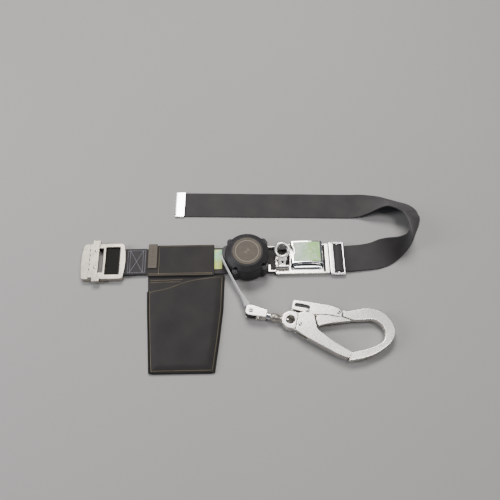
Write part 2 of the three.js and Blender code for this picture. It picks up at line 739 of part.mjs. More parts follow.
function clampBar() {
  const { low, high, top } = BUCKLE;
  const plate = box(-276.5, -260, low + 2, high - 2, top + CLEAR, top + 2.8);
  const ears = [
    box(-272, -259, high - 3, high + 5.6, top + CLEAR, top + 2.8),
    box(-272, -259, high + CLEAR, high + 5.6, 5, top + 2.8),
    box(-269, -256, low - 5, low + 3, top + CLEAR, top + 2.8),
    box(-269, -256, low - 5, low - CLEAR, 5, top + 2.8),
  ];
  const notches = [];
  for (let i = 0; i < 5; i += 1) {
    notches.push(disc(-276.9, -15.6 + i * 9.2, 2.5, 0, 30, 10));
  }
  const seats = [-11.5, 19.6].map((y) => disc(-265.4, y, 2.6, top + 1.6, 30, 14));
  return cut(join(plate, ...ears), ...notches, ...seats);
}

function buckleParts() {
  add(lifeline, 'buckle_frame', buckleFrame(), creamMetal);
  add(lifeline, 'clamp_bar', clampBar(), creamMetal);
  [-11.5, 19.6].forEach((y, i) => {
    const low = BUCKLE.top + 1.6 + CLEAR;
    add(lifeline, `clamp_rivet_${i + 1}`, disc(-265.4, y, 2.2, low, low + 1.4, 14), brightSteel);
  });
}

// ---- dee ring connector -------------------------------------------------------------------

const DEE = { x: 64, y: 12, hinge: -16, hingeZ: 12.6 };

function connectorBase() {
  const { left, right, low, high } = CONNECTOR;
  const sleeve = cut(
    join(
      box(left, right, low, high, 0.3, 8),
      box(right - 1, 144, high - 2.6, high, 0.3, 8),
      box(right - 1, 144, low, low + 2.6, 0.3, 8),
      prism(roundedBox(137.4, 144, low, high, 2), 5.6, 8.6),
    ),
    box(left - 5, 150, low + 2.4, high - 2.4, 2.4, 5.6),
    box(54.5, 75, DEE.hinge + 4.6, 19, 5, 9),
  );
  const arm = join(rodX(2.1, 37, 58, 24.5, 8.4), box(50, 60, 20, 29, 6, 9));
  const knuckle = (x0, x1) => join(
    rodX(4, x0, x1, DEE.hinge, DEE.hingeZ, 20),
    box(x0, x1, DEE.hinge - 4, DEE.hinge + 4, 6, DEE.hingeZ));
  const reach = box(37, 51, DEE.hinge - 7, DEE.hinge - 4.4, 6.2, 9.4);
  const toe = box(37, 41.4, DEE.hinge - 5, DEE.hinge + 6, 6.2, 9.4);
  return cut(
    join(sleeve, arm, reach, toe, knuckle(50, 54), knuckle(68.6, 73)),
    rodX(2.4, 40, 90, DEE.hinge, DEE.hingeZ, 16),
  );
}

// A steel strap wound into a flattened roll across the belt, its near end cut on the slant.
function connectorWrap() {
  const path = (x0, x1, z0, z1) => {
    const round = 0.45 * (z1 - z0);
    return outline([
      [x0, z0, round], [x1, z0, round], [x1, z1, round], [(x0 + x1) / 2, z1 + 2, 16], [x0, z1, round],
    ]);
  };
  const tube = (x0, x1, z0, z1, wall, y0, y1) => {
    const outer = prism(path(x0, x1, z0, z1), y0, y1, 5);
    const inner = prism(path(x0 + wall, x1 - wall, z0 + wall, z1 - wall), y0 - 1, y1 + 1, 5);
    return cut(outer, inner).rotate([90, 0, 0]).translate([0, y0 + y1, 0]);
  };
  const turns = join(
    tube(76, 133, 8.4, 17.4, 1.4, -24, 31),
    tube(80, 129, 10.4, 15.4, 1.2, -24, 31),
    box(126, 132, 14, 31, 12, 14),
    box(78, 81, 14, 31, 12, 14),
  );
  const slant = box(60, 150, -40, 0, -30, 30);
  slant.rotateX(-45 * RAD).translate(0, -16, 12.9);
  return cut(turns, slant, disc(DEE.x, DEE.y, 18.5, 0, 40, 40));
}

function connectorLabel() {
  const shape = outline([
    [81, 18.1], [104.5, 19.75, 16], [128, 18.1], [128, 18.7], [104.5, 20.35, 16], [81, 18.7],
  ]);
  const sheet = prism(shape, -28.6, 8.4, 6).rotateX(Math.PI / 2);
  return cut(sheet, disc(DEE.x, DEE.y, 19.5, 0, 40, 40));
}

function deeRing() {
  const eye = cut(disc(0, 29, 15, -2.6, 2.6, 40), disc(0, 29, 8.2, -5, 5, 32));
  const neck = cut(
    prism(outline([[-8.5, 17, 3], [-5, 3], [5, 3], [8.5, 17, 3]]), -2.4, 2.4),
    disc(0, 8.2, 2.2, -5, 5, 16), disc(0, 29, 12, -5, 5, 32));
  const barrel = cut(rodX(4.2, -6.9, 6.9, 0, 0, 20), rodX(2.4, -20, 20, 0, 0, 16));
  const ringSolid = join(eye, cut(neck, rodX(3, -20, 20, 0, 0, 16)), barrel);
  return ringSolid.rotate([18, 0, 0]).translate([61.3, DEE.hinge, DEE.hingeZ]);
}

function connectorParts() {
  add(lifeline, 'connector_base', connectorBase(), satinSteel);
  add(lifeline, 'connector_wrap', connectorWrap(), brightSteel);
  add(lifeline, 'connector_label', connectorLabel(), greenLabel);
  add(lifeline, 'dee_ring', deeRing(), brightSteel);
  add(lifeline, 'dee_pin', rodX(2, 49, 74, DEE.hinge, DEE.hingeZ, 16), springSteel);
}

// ---- slider -------------------------------------------------------------------------------

function beltSlider() {
  const { bar, low, high } = SLIDER;
  const side = (y0, y1) => prism(outline([
    [145.6, y0, 1.4], [171, y0, 1.4], [171, y1, 1.4], [145.6, y1, 1.4],
  ]), 2.6, 8.2);
  return join(
    side(high - 4.6, high - 1),
    side(low + 1, low + 4.6),
    prism(roundedBox(145.6, 153.4, low + 3, high - 3, 1.5), 5.4, 8.6),
    rodY(2, bar, low + 3, high - 3, 5.1),
    rodY(2.1, 170, low + 3, high - 3, 7.6),
  );
}

// ---- pouch --------------------------------------------------------------------------------

const POUCH_SIDES = [[-162, -198, 6], [-57, -199, 6], [-43, -92, 30], [-40.5, -24, 4]];

function pouchBack() {
  const { back, sheet } = POUCH;
  return prism(outline([
    ...POUCH_SIDES, [-58, -22, 2], [-58, 30, 3], [-173, 30, 3], [-174, -20, 4], [-170.5, -90, 20],
  ]), back, back + sheet);
}

// The front panel stands off the back like a shallow dome, open along its slanted mouth.
function pouchFront() {
  const low = POUCH.back + POUCH.sheet + CLEAR;
  const swell = 10;
  const crown = outline([
    [-152, -188, 3], [-67, -189, 3], [-53, -92, 30], [-50, 0], [-163, 0], [-160.5, -90, 20],
  ]);
  const dome = new THREE.ExtrudeGeometry(crown, {
    depth: 1,
    bevelThickness: POUCH.outer - low - 1,
    bevelSize: swell,
    bevelSegments: 4,
    curveSegments: 5,
  });
  dome.translate(0, 0, low);
  const inner = outline([
    [-154, -190, 6], [-65, -191, 6], [-51, -92, 30], [-48, 20], [-165, 20], [-162.5, -90, 20],
  ]);
  const aboveMouth = outline([
    [-200, -54], [-173, -54], [-142, -50, 10], [-113, -39, 12], [-75, -31, 16], [-38, -28], [0, -28],
    [0, 40], [-200, 40],
  ]);
  return cut(dome, box(-250, 0, -250, 50, -30, low), prism(aboveMouth, -1, 30),
    prism(inner, -60, POUCH.inner));
}

function pouchPocket() {
  const low = POUCH.back + POUCH.sheet + CLEAR;
  return prism(outline([
    [-153.4, -189.4, 8], [-65.7, -190.4, 8], [-51.8, -92, 30], [-49.4, -34, 3], [-80, -36, 10],
    [-116, -38, 10], [-163.6, -44, 3], [-161.6, -90, 20],
  ]), low, low + 1.5);
}

function pouchParts() {
  const bandTop = BELT.z + BELT.thick / 2 + CLEAR;
  const low = POUCH.back + POUCH.sheet + CLEAR;
  add(lifeline, 'pouch_back', pouchBack(), canvas);
  const band = cut(
    box(-173, -58, -27, 31.5, low, bandTop + POUCH.sheet),
    box(-180, -50, -24, 27, 0, bandTop));
  add(lifeline, 'pouch_band', band, canvas);
  add(lifeline, 'pouch_front', pouchFront(), canvas);
  add(lifeline, 'pouch_pocket', pouchPocket(), canvas);
  const tag = cut(
    box(-174, -158, -13, 34, low, bandTop + POUCH.sheet + 2.8),
    box(-180, -150, -20, 31.8, 0, bandTop + POUCH.sheet + CLEAR));
  add(lifeline, 'pouch_tag', tag, tagRubber);
}

// ---- build --------------------------------------------------------------------------------

housingParts();
reelParts();
strapParts();
linkParts();
hookParts();
beltParts();
buckleParts();
connectorParts();
add(lifeline, 'belt_slider', beltSlider(), creamMetal);
pouchParts();

export default lifeline;
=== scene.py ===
# Looks of the belt-worn self retracting lifeline: every visible piece as a detailed mesh with its
# own procedural finish. Sizes are in millimetres in the CAD model's frame and are scaled to metres
# as each mesh is made.

import math

import bmesh
import bpy
from mathutils import Matrix, Vector, noise


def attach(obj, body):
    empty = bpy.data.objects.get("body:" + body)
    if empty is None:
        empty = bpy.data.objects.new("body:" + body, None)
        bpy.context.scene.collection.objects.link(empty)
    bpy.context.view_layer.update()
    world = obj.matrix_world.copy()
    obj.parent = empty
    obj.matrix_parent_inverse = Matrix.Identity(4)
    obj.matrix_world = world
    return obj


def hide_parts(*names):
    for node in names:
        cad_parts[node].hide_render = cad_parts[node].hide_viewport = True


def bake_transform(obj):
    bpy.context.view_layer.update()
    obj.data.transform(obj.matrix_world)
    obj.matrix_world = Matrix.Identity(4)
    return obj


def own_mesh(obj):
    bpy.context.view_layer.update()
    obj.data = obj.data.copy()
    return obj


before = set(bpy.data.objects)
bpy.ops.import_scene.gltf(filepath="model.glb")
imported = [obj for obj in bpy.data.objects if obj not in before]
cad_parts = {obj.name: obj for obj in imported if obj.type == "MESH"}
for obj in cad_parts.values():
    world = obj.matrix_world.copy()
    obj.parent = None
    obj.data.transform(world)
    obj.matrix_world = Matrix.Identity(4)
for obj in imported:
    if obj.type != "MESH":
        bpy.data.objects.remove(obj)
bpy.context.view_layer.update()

MM = 0.001

# ---- driving dimensions, as in the CAD model ----------------------------------------------

BELT_WIDTH, BELT_THICK, BELT_Y, BELT_Z = 50, 2.2, 1.5, 3.9
HOUSING_RADIUS, HOUSING_SPLIT = 37.5, 16
LUGS = [(-28.5, 23.5), (28, 24), (-20, -31), (28, -24)]
STRAP_WIDTH, STRAP_THICK, STRAP_Z = 15, 1.8, 23
ROLLER = Vector((-39, -2, 0))
ROLLER_WRAP = 4.3
LINK_PIN = Vector((4.9, -97.8, 11.5))
LINK_ANGLE = math.radians(-14.83)
HOOK_EYE = 67.6
GATE_PIVOT, LEVER_PIVOT, NOSE_PIN = (24.2, 23), (16.9, -4.3), (75.6, 31.4)
HOOK_CORE, HOOK_BOW, HOOK_BOSS = 4.5, 6, 8
GATE_IN, GATE_OUT, LEVER_IN, LEVER_OUT = 4.8, 6.9, 7.2, 9.3
SLIDER_BAR = 160.5
DEE_HINGE = Vector((61.3, -16, 12.6))
DEE_TILT = math.radians(18)

LINK_FRAME = Matrix.Translation(LINK_PIN) @ Matrix.Rotation(LINK_ANGLE, 4, "Z")
HOOK_FRAME = LINK_FRAME @ Matrix.Translation((HOOK_EYE, 0, 0))
STRAP_START = Vector((ROLLER.x - ROLLER_WRAP * 0.89, ROLLER.y - ROLLER_WRAP * 0.45, STRAP_Z))
STRAP_RUN = Vector((LINK_PIN.x - STRAP_START.x, LINK_PIN.y - STRAP_START.y, 0))
EYE_FRAME = Matrix.Translation(LINK_PIN) @ Matrix.Rotation(
    math.atan2(-STRAP_RUN.y, -STRAP_RUN.x), 4, "Z")
DEE_FRAME = Matrix.Translation(DEE_HINGE) @ Matrix.Rotation(DEE_TILT, 4, "X")


# ---- camera, floor and light --------------------------------------------------------------

CAMERA_PLACE, CAMERA_TARGET, CAMERA_LENS = (-3.5, -446.5, 964.4), (5.55, 23.7, 0), 43.2
WORLD_COLOUR, WORLD_STRENGTH = (0.8, 0.86, 1.0, 1), 0.17

# Name, place and target in metres, width and height, watts, colour.
LIGHTS = [
    ("back_softbox", (-0.15, 1.15, 2.0), (0, 0.03, 0), (1.15, 0.75), 47, (1.0, 0.98, 0.955)),
    ("top_softbox", (0.75, -0.1, 2.1), (0, 0, 0), (0.6, 0.6), 14, (1.0, 0.97, 0.94)),
    ("side_softbox", (-1.6, -0.2, 1.0), (0, 0, 0), (0.5, 0.9), 17, (0.95, 0.965, 1.0)),
]


def add_camera():
    data = bpy.data.cameras.new("camera")
    data.lens = CAMERA_LENS
    data.clip_end = 20
    camera = bpy.data.objects.new("camera", data)
    bpy.context.collection.objects.link(camera)
    camera.location = Vector(CAMERA_PLACE) * MM
    target = Vector(CAMERA_TARGET) * MM
    camera.rotation_euler = (target - camera.location).to_track_quat("-Z", "Y").to_euler()
    bpy.context.scene.camera = camera


def add_light(name, place, target, size, power, colour):
    data = bpy.data.lights.new(name, "AREA")
    data.shape = "RECTANGLE"
    data.size, data.size_y = size
    data.energy = power
    data.color = colour
    light = bpy.data.objects.new(name, data)
    bpy.context.collection.objects.link(light)
    light.location = place
    aim = Vector(target) - Vector(place)
    light.rotation_euler = aim.to_track_quat("-Z", "Y").to_euler()


def add_studio():
    for light in LIGHTS:
        add_light(*light)
    world = bpy.data.worlds.new("studio")
    world.use_nodes = True
    background = world.node_tree.nodes["Background"]
    background.inputs["Color"].default_value = WORLD_COLOUR
    background.inputs["Strength"].default_value = WORLD_STRENGTH
    bpy.context.scene.world = world


# ---- materials ----------------------------------------------------------------------------

def node(tree, kind, settings=None, **inputs):
    """One shader node; an input given as a socket is linked, any other value is set."""
    made = tree.nodes.new("ShaderNode" + kind)
    for key, value in (settings or {}).items():
        setattr(made, key, value)
    for key, value in inputs.items():
        socket = made.inputs[int(key[1:])] if key[1:].isdigit() else made.inputs[key]
        if isinstance(value, bpy.types.NodeSocket):
            tree.links.new(value, socket)
        else:
            socket.default_value = value
    return made.outputs[0]


def blank_material(name, metallic=0.0, **sockets):
    material = bpy.data.materials.new(name)
    material.use_nodes = True
    tree = material.node_tree
    shader = tree.nodes["Principled BSDF"]
    shader.inputs["Metallic"].default_value = metallic
    for key, value in sockets.items():
        shader.inputs[key.replace("_", " ")].default_value = value
    return material, tree, shader


def ramp(tree, factor, low, high, start=0.3, end=0.7):
    """A blend from colour low to colour high while factor runs from start to end."""
    spread = node(tree, "MapRange", None, Value=factor, i1=start, i2=end)
    mixed = tree.nodes.new("ShaderNodeMix")
    mixed.data_type = "RGBA"
    tree.links.new(spread, mixed.inputs["Factor"])
    for socket, value in ((mixed.inputs[6], low), (mixed.inputs[7], high)):
        if isinstance(value, bpy.types.NodeSocket):
            tree.links.new(value, socket)
        else:
            socket.default_value = (*value, 1)
    return mixed.outputs[2]


def math_node(tree, operation, first, second=0.0):
    return node(tree, "Math", {"operation": operation}, i0=first, i1=second)


def place_coordinates(tree, scale=(1, 1, 1), turn=0.0):
    coordinates = tree.nodes.new("ShaderNodeTexCoord").outputs["Object"]
    return node(tree, "Mapping", None, Vector=coordinates, Scale=scale, Rotation=(0, 0, turn))


def speckle(tree, scale, detail=3.0, vector=None):
    vector = vector or place_coordinates(tree)
    return node(tree, "TexNoise", None, Vector=vector, Scale=scale, Detail=detail)


def finish_surface(tree, shader, colour, roughness, height, distance, strength=1.0):
    tree.links.new(colour, shader.inputs["Base Color"])
    tree.links.new(roughness, shader.inputs["Roughness"])
    bump = node(tree, "Bump", None, Height=height, Distance=distance, Strength=strength)
    tree.links.new(bump, shader.inputs["Normal"])


def metal(name, light, dark, rough, grain=(900, 900, 900), turn=0.0, wear_and_highlight=0.5, bump=0.00004):
    """Bare or plated metal: cloudy tone, fine grain along one direction, edges brighter, partly from
    abrasion and partly as a painted edge highlight.
    """
    material, tree, shader = blank_material(name, metallic=1.0)
    clouds = speckle(tree, 55, 4)
    tone = ramp(tree, clouds, dark, light)
    edges = tree.nodes.new("ShaderNodeNewGeometry").outputs["Pointiness"]
    # Convex edges painted brighter: partly abrasion, partly a painted highlight.
    edge_wear_and_highlight = tuple(min(1.0, part * 1.12 + 0.03) for part in light)
    edge_wear_and_highlight_mask = node(tree, "MapRange", None, Value=edges, i1=0.51, i2=0.56, i3=0.0, i4=wear_and_highlight)
    colour = ramp(tree, edge_wear_and_highlight_mask, tone, edge_wear_and_highlight, 0, 1)
    streaks = node(tree, "TexNoise", None, Vector=place_coordinates(tree, grain, turn),
                   Scale=1.0, Detail=5.0, Roughness=0.6)
    roughness = node(tree, "MapRange", None, Value=streaks, i1=0.25, i2=0.75,
                     i3=rough * 0.8, i4=rough * 1.25)
    finish_surface(tree, shader, colour, roughness, streaks, bump, 0.6)
    return material


def plastic(name, light, dark, rough, grain=1500, bump=0.00006, wear_and_highlight=(0.09, 0.085, 0.08),
            specular=0.42):
    """Moulded plastic or rubber: fine texture, faint scuffs, edges a little paler, partly from scuffing and
    partly as a painted edge highlight.
    """
    material, tree, shader = blank_material(name)
    shader.inputs["Specular IOR Level"].default_value = specular
    scuffs = speckle(tree, 130, 6)
    tone = ramp(tree, scuffs, dark, light)
    edges = tree.nodes.new("ShaderNodeNewGeometry").outputs["Pointiness"]
    # Edges painted paler: partly scuffing, partly a painted highlight.
    edge_wear_and_highlight = node(tree, "MapRange", None, Value=edges, i1=0.51, i2=0.58, i3=0.0, i4=0.6)
    colour = ramp(tree, edge_wear_and_highlight, tone, wear_and_highlight, 0, 1)
    texture = node(tree, "TexVoronoi", None, Vector=place_coordinates(tree), Scale=grain)
    roughness = node(tree, "MapRange", None, Value=scuffs, i1=0.3, i2=0.7,
                     i3=rough * 0.88, i4=rough * 1.14)
    finish_surface(tree, shader, colour, roughness, texture, bump, 0.5)
    return material


def weave_height(tree, along, across, pitch, ribs):
    """Threads that pass over and under each other, from distances along and across the cloth."""
    warp = math_node(tree, "SINE", math_node(tree, "MULTIPLY", along, 2 * math.pi / pitch))
    weft = math_node(tree, "SINE", math_node(tree, "MULTIPLY", across, 2 * math.pi / ribs))
    checks = math_node(tree, "MULTIPLY", warp, weft)
    rounds = math_node(tree, "ABSOLUTE", weft)
    both = math_node(tree, "ADD", math_node(tree, "MULTIPLY", checks, 0.5), rounds)
    return math_node(tree, "MULTIPLY_ADD", both, 0.4)


def cloth(name, light, dark, pitch, ribs, along_uv, rough=0.85, sheen=0.15, bump=0.0002):
    """Woven cloth: crossing threads with painted shade in the hollows between them, lint, and slow changes
    of tone from abrasion and dye.
    """
    material, tree, shader = blank_material(name)
    shader.inputs["Sheen Weight"].default_value = sheen
    shader.inputs["Sheen Roughness"].default_value = 0.5
    shader.inputs["Specular IOR Level"].default_value = 0.25
    if along_uv:
        uv_node = tree.nodes.new("ShaderNodeUVMap")
        uv_node.uv_map = "run"
        vector = uv_node.outputs[0]
    else:
        vector = place_coordinates(tree)
    split = tree.nodes.new("ShaderNodeSeparateXYZ")
    tree.links.new(vector, split.inputs[0])
    threads = weave_height(tree, split.outputs[0], split.outputs[1], pitch, ribs)
    patches = speckle(tree, 28, 4)
    lint = speckle(tree, 900, 3)
    shade = math_node(tree, "ADD", math_node(tree, "MULTIPLY", patches, 0.6),
                      math_node(tree, "MULTIPLY", lint, 0.4))
    base = ramp(tree, shade, dark, light, 0.35, 0.65)
    # Painted shade: the hollows of the weave are darkened to 0.55 of the dark tone.
    weave_hollow_shade = tuple(part * 0.55 for part in dark)
    colour = ramp(tree, threads, weave_hollow_shade, base, -0.1, 0.4)
    roughness = node(tree, "MapRange", None, Value=lint, i1=0.3, i2=0.7,
                     i3=rough * 0.9, i4=min(1.0, rough * 1.1))
    finish_surface(tree, shader, colour, roughness, threads, bump, 0.7)
    return material


def thread_material(name, light, dark):
    """Sewing thread: twisted strands across each stitch."""
    material, tree, shader = blank_material(name)
    shader.inputs["Sheen Weight"].default_value = 0.2
    strands = node(tree, "TexWave", {"wave_type": "BANDS", "bands_direction": "DIAGONAL"},
                   Vector=place_coordinates(tree), Scale=900.0, Distortion=1.5)
    clouds = speckle(tree, 60, 3)
    tone = ramp(tree, clouds, dark, light)
    roughness = node(tree, "MapRange", None, Value=clouds, i3=0.6, i4=0.8)
    finish_surface(tree, shader, tone, roughness, strands, 0.0001, 0.6)
    return material


def printed_film(name, first, second, third, span, start, direction):
    """A printed label: fields of colour that run into each other, and no lettering."""
    material, tree, shader = blank_material(name)
    shader.inputs["Specular IOR Level"].default_value = 0.25
    place = tree.nodes.new("ShaderNodeTexCoord").outputs["Object"]
    height = tree.nodes.new("ShaderNodeVectorMath")
    height.operation = "DOT_PRODUCT"
    tree.links.new(place, height.inputs[0])
    height.inputs[1].default_value = direction
    level = node(tree, "MapRange", None, Value=height.outputs["Value"],
                 i1=start * MM, i2=(start + span) * MM)
    field = ramp(tree, level, first, second, 0.3, 0.62)
    clouds = speckle(tree, 120, 5)
    cloudy = ramp(tree, clouds, field, third, 0.42, 0.72)
    bars = speckle(tree, 1.0, 2, place_coordinates(tree, (330, 900, 330)))
    marked = ramp(tree, bars, cloudy, tuple(part * 0.8 for part in first), 0.56, 0.62)
    roughness = node(tree, "MapRange", None, Value=clouds, i3=0.25, i4=0.45)
    finish_surface(tree, shader, marked, roughness, clouds, 0.00004, 0.3)
    return material


def floor_material():
    material, tree, shader = blank_material("studio_floor")
    shader.inputs["Specular IOR Level"].default_value = 0.15
    drift = speckle(tree, 1.3, 2)
    tone = ramp(tree, drift, (0.385, 0.378, 0.37), (0.41, 0.398, 0.384))
    fine = speckle(tree, 400, 2)
    roughness = node(tree, "MapRange", None, Value=fine, i3=0.75, i4=0.9)
    finish_surface(tree, shader, tone, roughness, fine, 0.00003, 0.2)
    return material


MATERIALS = {
    "satin_steel": metal("satin_steel", (0.885, 0.85, 0.795), (0.76, 0.73, 0.68), 0.27,
                         (260, 1700, 900), -LINK_ANGLE),
    "bright_steel": metal("bright_steel", (0.84, 0.83, 0.815), (0.74, 0.735, 0.725), 0.13,
                          (700, 700, 700), bump=0.00002),
    "rivet_steel": metal("rivet_steel", (0.5, 0.485, 0.455), (0.36, 0.35, 0.33), 0.24),
    "spring_steel": metal("spring_steel", (0.42, 0.43, 0.44), (0.28, 0.285, 0.3), 0.32),
    "dark_screw": metal("dark_screw", (0.07, 0.07, 0.078), (0.042, 0.042, 0.048), 0.6, wear_and_highlight=0.15),
    "brass": metal("brass", (0.72, 0.55, 0.26), (0.6, 0.44, 0.18), 0.35),
    "cream_metal": metal("cream_metal", (0.56, 0.515, 0.445), (0.4, 0.365, 0.315), 0.4,
                         (500, 1200, 900), bump=0.00005),
    "housing": plastic("housing", (0.034, 0.031, 0.032), (0.022, 0.021, 0.022), 0.52),
    # The badge's pale edge colour is mostly a painted highlight on its rim.
    "badge": plastic("badge", (0.135, 0.115, 0.092), (0.1, 0.085, 0.068), 0.6, 2200, 0.00003,
                     (0.24, 0.21, 0.17), 0.2),
    "badge_mark": plastic("badge_mark", (0.3, 0.27, 0.22), (0.24, 0.215, 0.175), 0.6, 2200,
                          0.00003, (0.36, 0.33, 0.27), 0.2),
    "black_rubber": plastic("black_rubber", (0.02, 0.02, 0.022), (0.012, 0.012, 0.013), 0.62),
    "tag_rubber": plastic("tag_rubber", (0.115, 0.096, 0.073), (0.08, 0.068, 0.052), 0.6, 1100,
                          0.0001, (0.27, 0.23, 0.17)),
    "grey_sleeve": plastic("grey_sleeve", (0.56, 0.56, 0.55), (0.42, 0.42, 0.42), 0.42, 900,
                           0.00008, (0.7, 0.7, 0.69)),
    "dark_webbing": cloth("dark_webbing", (0.062, 0.057, 0.056), (0.044, 0.04, 0.042),
                          0.0016, 0.0021, True),
    "white_webbing": cloth("white_webbing", (0.93, 0.92, 0.9), (0.84, 0.83, 0.8),
                           0.0011, 0.0013, True),
    "canvas": cloth("canvas", (0.045, 0.0405, 0.04), (0.031, 0.028, 0.028),
                    0.0011, 0.0011, False, 0.9, 0.12),
    "binding": cloth("binding", (0.016, 0.015, 0.013), (0.009, 0.009, 0.008),
                     0.0009, 0.0012, False, 0.85, 0.1),
    "olive_thread": thread_material("olive_thread", (0.33, 0.27, 0.15), (0.2, 0.165, 0.09)),
    "grey_thread": thread_material("grey_thread", (0.34, 0.35, 0.4), (0.22, 0.22, 0.26)),
    "belt_film": printed_film("belt_film", (0.56, 0.72, 0.12), (0.36, 0.76, 0.5),
                              (0.84, 0.9, 0.4), 38, -15, (0, 1, 0)),
    "connector_film": printed_film("connector_film", (0.52, 0.68, 0.5), (0.42, 0.74, 0.24),
                                   (0.8, 0.87, 0.74), 47, 81, (1, 0, 0)),
}


# ---- meshes -------------------------------------------------------------------------------

def to_object(name, mesh):
    made = bpy.data.objects.new(name, mesh)
    bpy.context.collection.objects.link(made)
    return made


def build(name, points, faces, place=None):
    """A mesh object from points in millimetres, with its faces turned outward."""
    place = place or Matrix.Identity(4)
    mesh = bpy.data.meshes.new(name)
    mesh.from_pydata([(place @ Vector(p)) * MM for p in points], [], faces)
    shape = bmesh.new()
    shape.from_mesh(mesh)
    bmesh.ops.recalc_face_normals(shape, faces=shape.faces)
    shape.to_mesh(mesh)
    shape.free()
    return to_object(name, mesh)


def loft(name, rings, place=None, around=True):
    """Skin through rings of equally many points, closed round each ring and capped at both ends."""
    count = len(rings[0])
    points = [p for one in rings for p in one]
    faces = []
    for r in range(len(rings) - 1):
        for i in range(count):
            a, b = r * count + i, r * count + (i + 1) % count
            faces.append((a, b, b + count, a + count))
    if around:
        last = (len(rings) - 1) * count
        faces += [tuple(range(count))[::-1], tuple(range(last, last + count))]
    return build(name, points, faces, place)


def lathe(name, profile, steps=72, place=None):
    """A turned piece from (radius, height) pairs round +Z of its place, closed along its axis."""
    rings = [[(max(r, 0.01) * math.cos(2 * math.pi * i / steps),
               max(r, 0.01) * math.sin(2 * math.pi * i / steps), z) for i in range(steps)]
             for r, z in profile]
    return loft(name, rings, place)


def torus(name, radius, section, steps=96, place=None):
    """A ring round +Z whose section is a list of (outward, upward) pairs."""
    count = len(section)
    points, faces = [], []
    for s in range(steps):
        angle = 2 * math.pi * s / steps
        for out, up in section:
            points.append(((radius + out) * math.cos(angle), (radius + out) * math.sin(angle), up))
        for i in range(count):
            a, b = s * count + i, s * count + (i + 1) % count
            c, d = (b + count) % (steps * count), (a + count) % (steps * count)
            faces.append((a, b, c, d))
    return build(name, points, faces, place)


def corner_outline(corners, steps=8):
    """A closed outline through corners (x, y, reach); reach is how far a round takes off a corner."""
    line = []
    count = len(corners)
    for i, corner in enumerate(corners):
        x, y, reach = (*corner, 0)[:3]
        here = Vector((x, y))
        if not reach:
            line.append((x, y))
            continue
        enter = here.lerp(Vector(corners[i - 1][:2]), reach / (here - Vector(corners[i - 1][:2])).length)
        after = Vector(corners[(i + 1) % count][:2])
        leave = here.lerp(after, reach / (here - after).length)
        for k in range(steps + 1):
            t = k / steps
            spot = enter * (1 - t) ** 2 + here * 2 * t * (1 - t) + leave * t ** 2
            line.append((spot.x, spot.y))
    return line


def through(points, steps=10, closed=False):
    """A smooth line through points of any dimension."""
    ends = [Vector(p) for p in points]
    if not closed:
        ends = [ends[0] * 2 - ends[1], *ends, ends[-1] * 2 - ends[-2]]
    line = []
    for i in range(1, len(ends) - 2):
        before, start, stop, after = ends[i - 1:i + 3]
        for k in range(steps):
            t = k / steps
            line.append(0.5 * (2 * start + (stop - before) * t
                               + (2 * before - 5 * start + 4 * stop - after) * t ** 2
                               + (3 * start - before - 3 * stop + after) * t ** 3))
    line.append(ends[-2])
    return line


def prism(outline, low, high, place=None):
    return loft("prism", [[(x, y, z) for x, y in outline] for z in (low, high)], place)


def rod(radius, start, end, place=None, steps=48):
    start, end = Vector(start), Vector(end)
    turn = (end - start).to_track_quat("Z", "Y").to_matrix().to_4x4()
    place = (place or Matrix.Identity(4)) @ Matrix.Translation(start) @ turn
    return lathe("rod", [(radius, 0), (radius, (end - start).length)], steps, place)


def disc(x, y, radius, low, high, place=None, steps=64):
    return rod(radius, (x, y, low), (x, y, high), place, steps)


def block(x0, x1, y0, y1, z0, z1, place=None):
    return prism([(x0, y0), (x1, y0), (x1, y1), (x0, y1)], z0, z1, place)


def baked(made):
    """The object with its modifiers made real."""
    graph = bpy.context.evaluated_depsgraph_get()
    mesh = bpy.data.meshes.new_from_object(made.evaluated_get(graph))
    made.modifiers.clear()
    made.data = mesh
    return made


def combine(operation, first, others):
    for other in others:
        modifier = first.modifiers.new("combine", "BOOLEAN")
        modifier.operation = operation
        modifier.solver = "MANIFOLD"
        modifier.object = other
        baked(first)
        bpy.data.objects.remove(other)
    return first


def fuse(first, *others):
    return combine("UNION", first, others)


def carve(first, *others):
    return combine("DIFFERENCE", first, others)


def soften(made, voxel, passes, factor=0.5):
    """Rounds every edge of a closed mesh: an even skin of voxels, relaxed."""
    remesh = made.modifiers.new("skin", "REMESH")
    remesh.mode = "VOXEL"
    remesh.voxel_size = voxel * MM
    relax = made.modifiers.new("relax", "SMOOTH")
    relax.factor = factor
    relax.iterations = passes
    return baked(made)


def bevelled(made, width, segments=3, angle=30):
    modifier = made.modifiers.new("edge", "BEVEL")
    modifier.width = width * MM
    modifier.segments = segments
    modifier.limit_method = "ANGLE"
    modifier.angle_limit = math.radians(angle)
    modifier.harden_normals = False
    return baked(made)


def from_cad(cad_node):
    """A copy of a CAD node's mesh, with its split corners welded."""
    made = to_object("copy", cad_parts[cad_node].data.copy())
    shape = bmesh.new()
    shape.from_mesh(made.data)
    bmesh.ops.remove_doubles(shape, verts=shape.verts, dist=1e-6)
    bmesh.ops.dissolve_limit(shape, angle_limit=0.01, verts=shape.verts, edges=shape.edges)
    bmesh.ops.triangulate(shape, faces=shape.faces)
    shape.to_mesh(made.data)
    shape.free()
    return made


def dress(made, name, material, slot, body, *stands_for, smooth=40):
    """Names a finished piece, gives it its material and lets it ride its body; its slot argument is not
    used.
    """
    made.name = name
    made.data.materials.clear()
    made.data.materials.append(MATERIALS[material])
    for polygon in made.data.polygons:
        polygon.material_index = 0
    if smooth:
        made.data.shade_smooth()
        if smooth < 180:
            made.data.set_sharp_from_angle(angle=math.radians(smooth))
    if body:
        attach(made, body)
    if stands_for:
        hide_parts(*stands_for)
    return made


def rounded_copy(cad_node, name, material, slot, body, voxel, passes):
    """A CAD piece with its edges rounded, as casting, pressing or moulding leaves them."""
    made = soften(from_cad(cad_node), voxel, passes)
    return dress(made, name, material, slot, body, cad_node, smooth=180)


# ---- straps and stitches ------------------------------------------------------------------

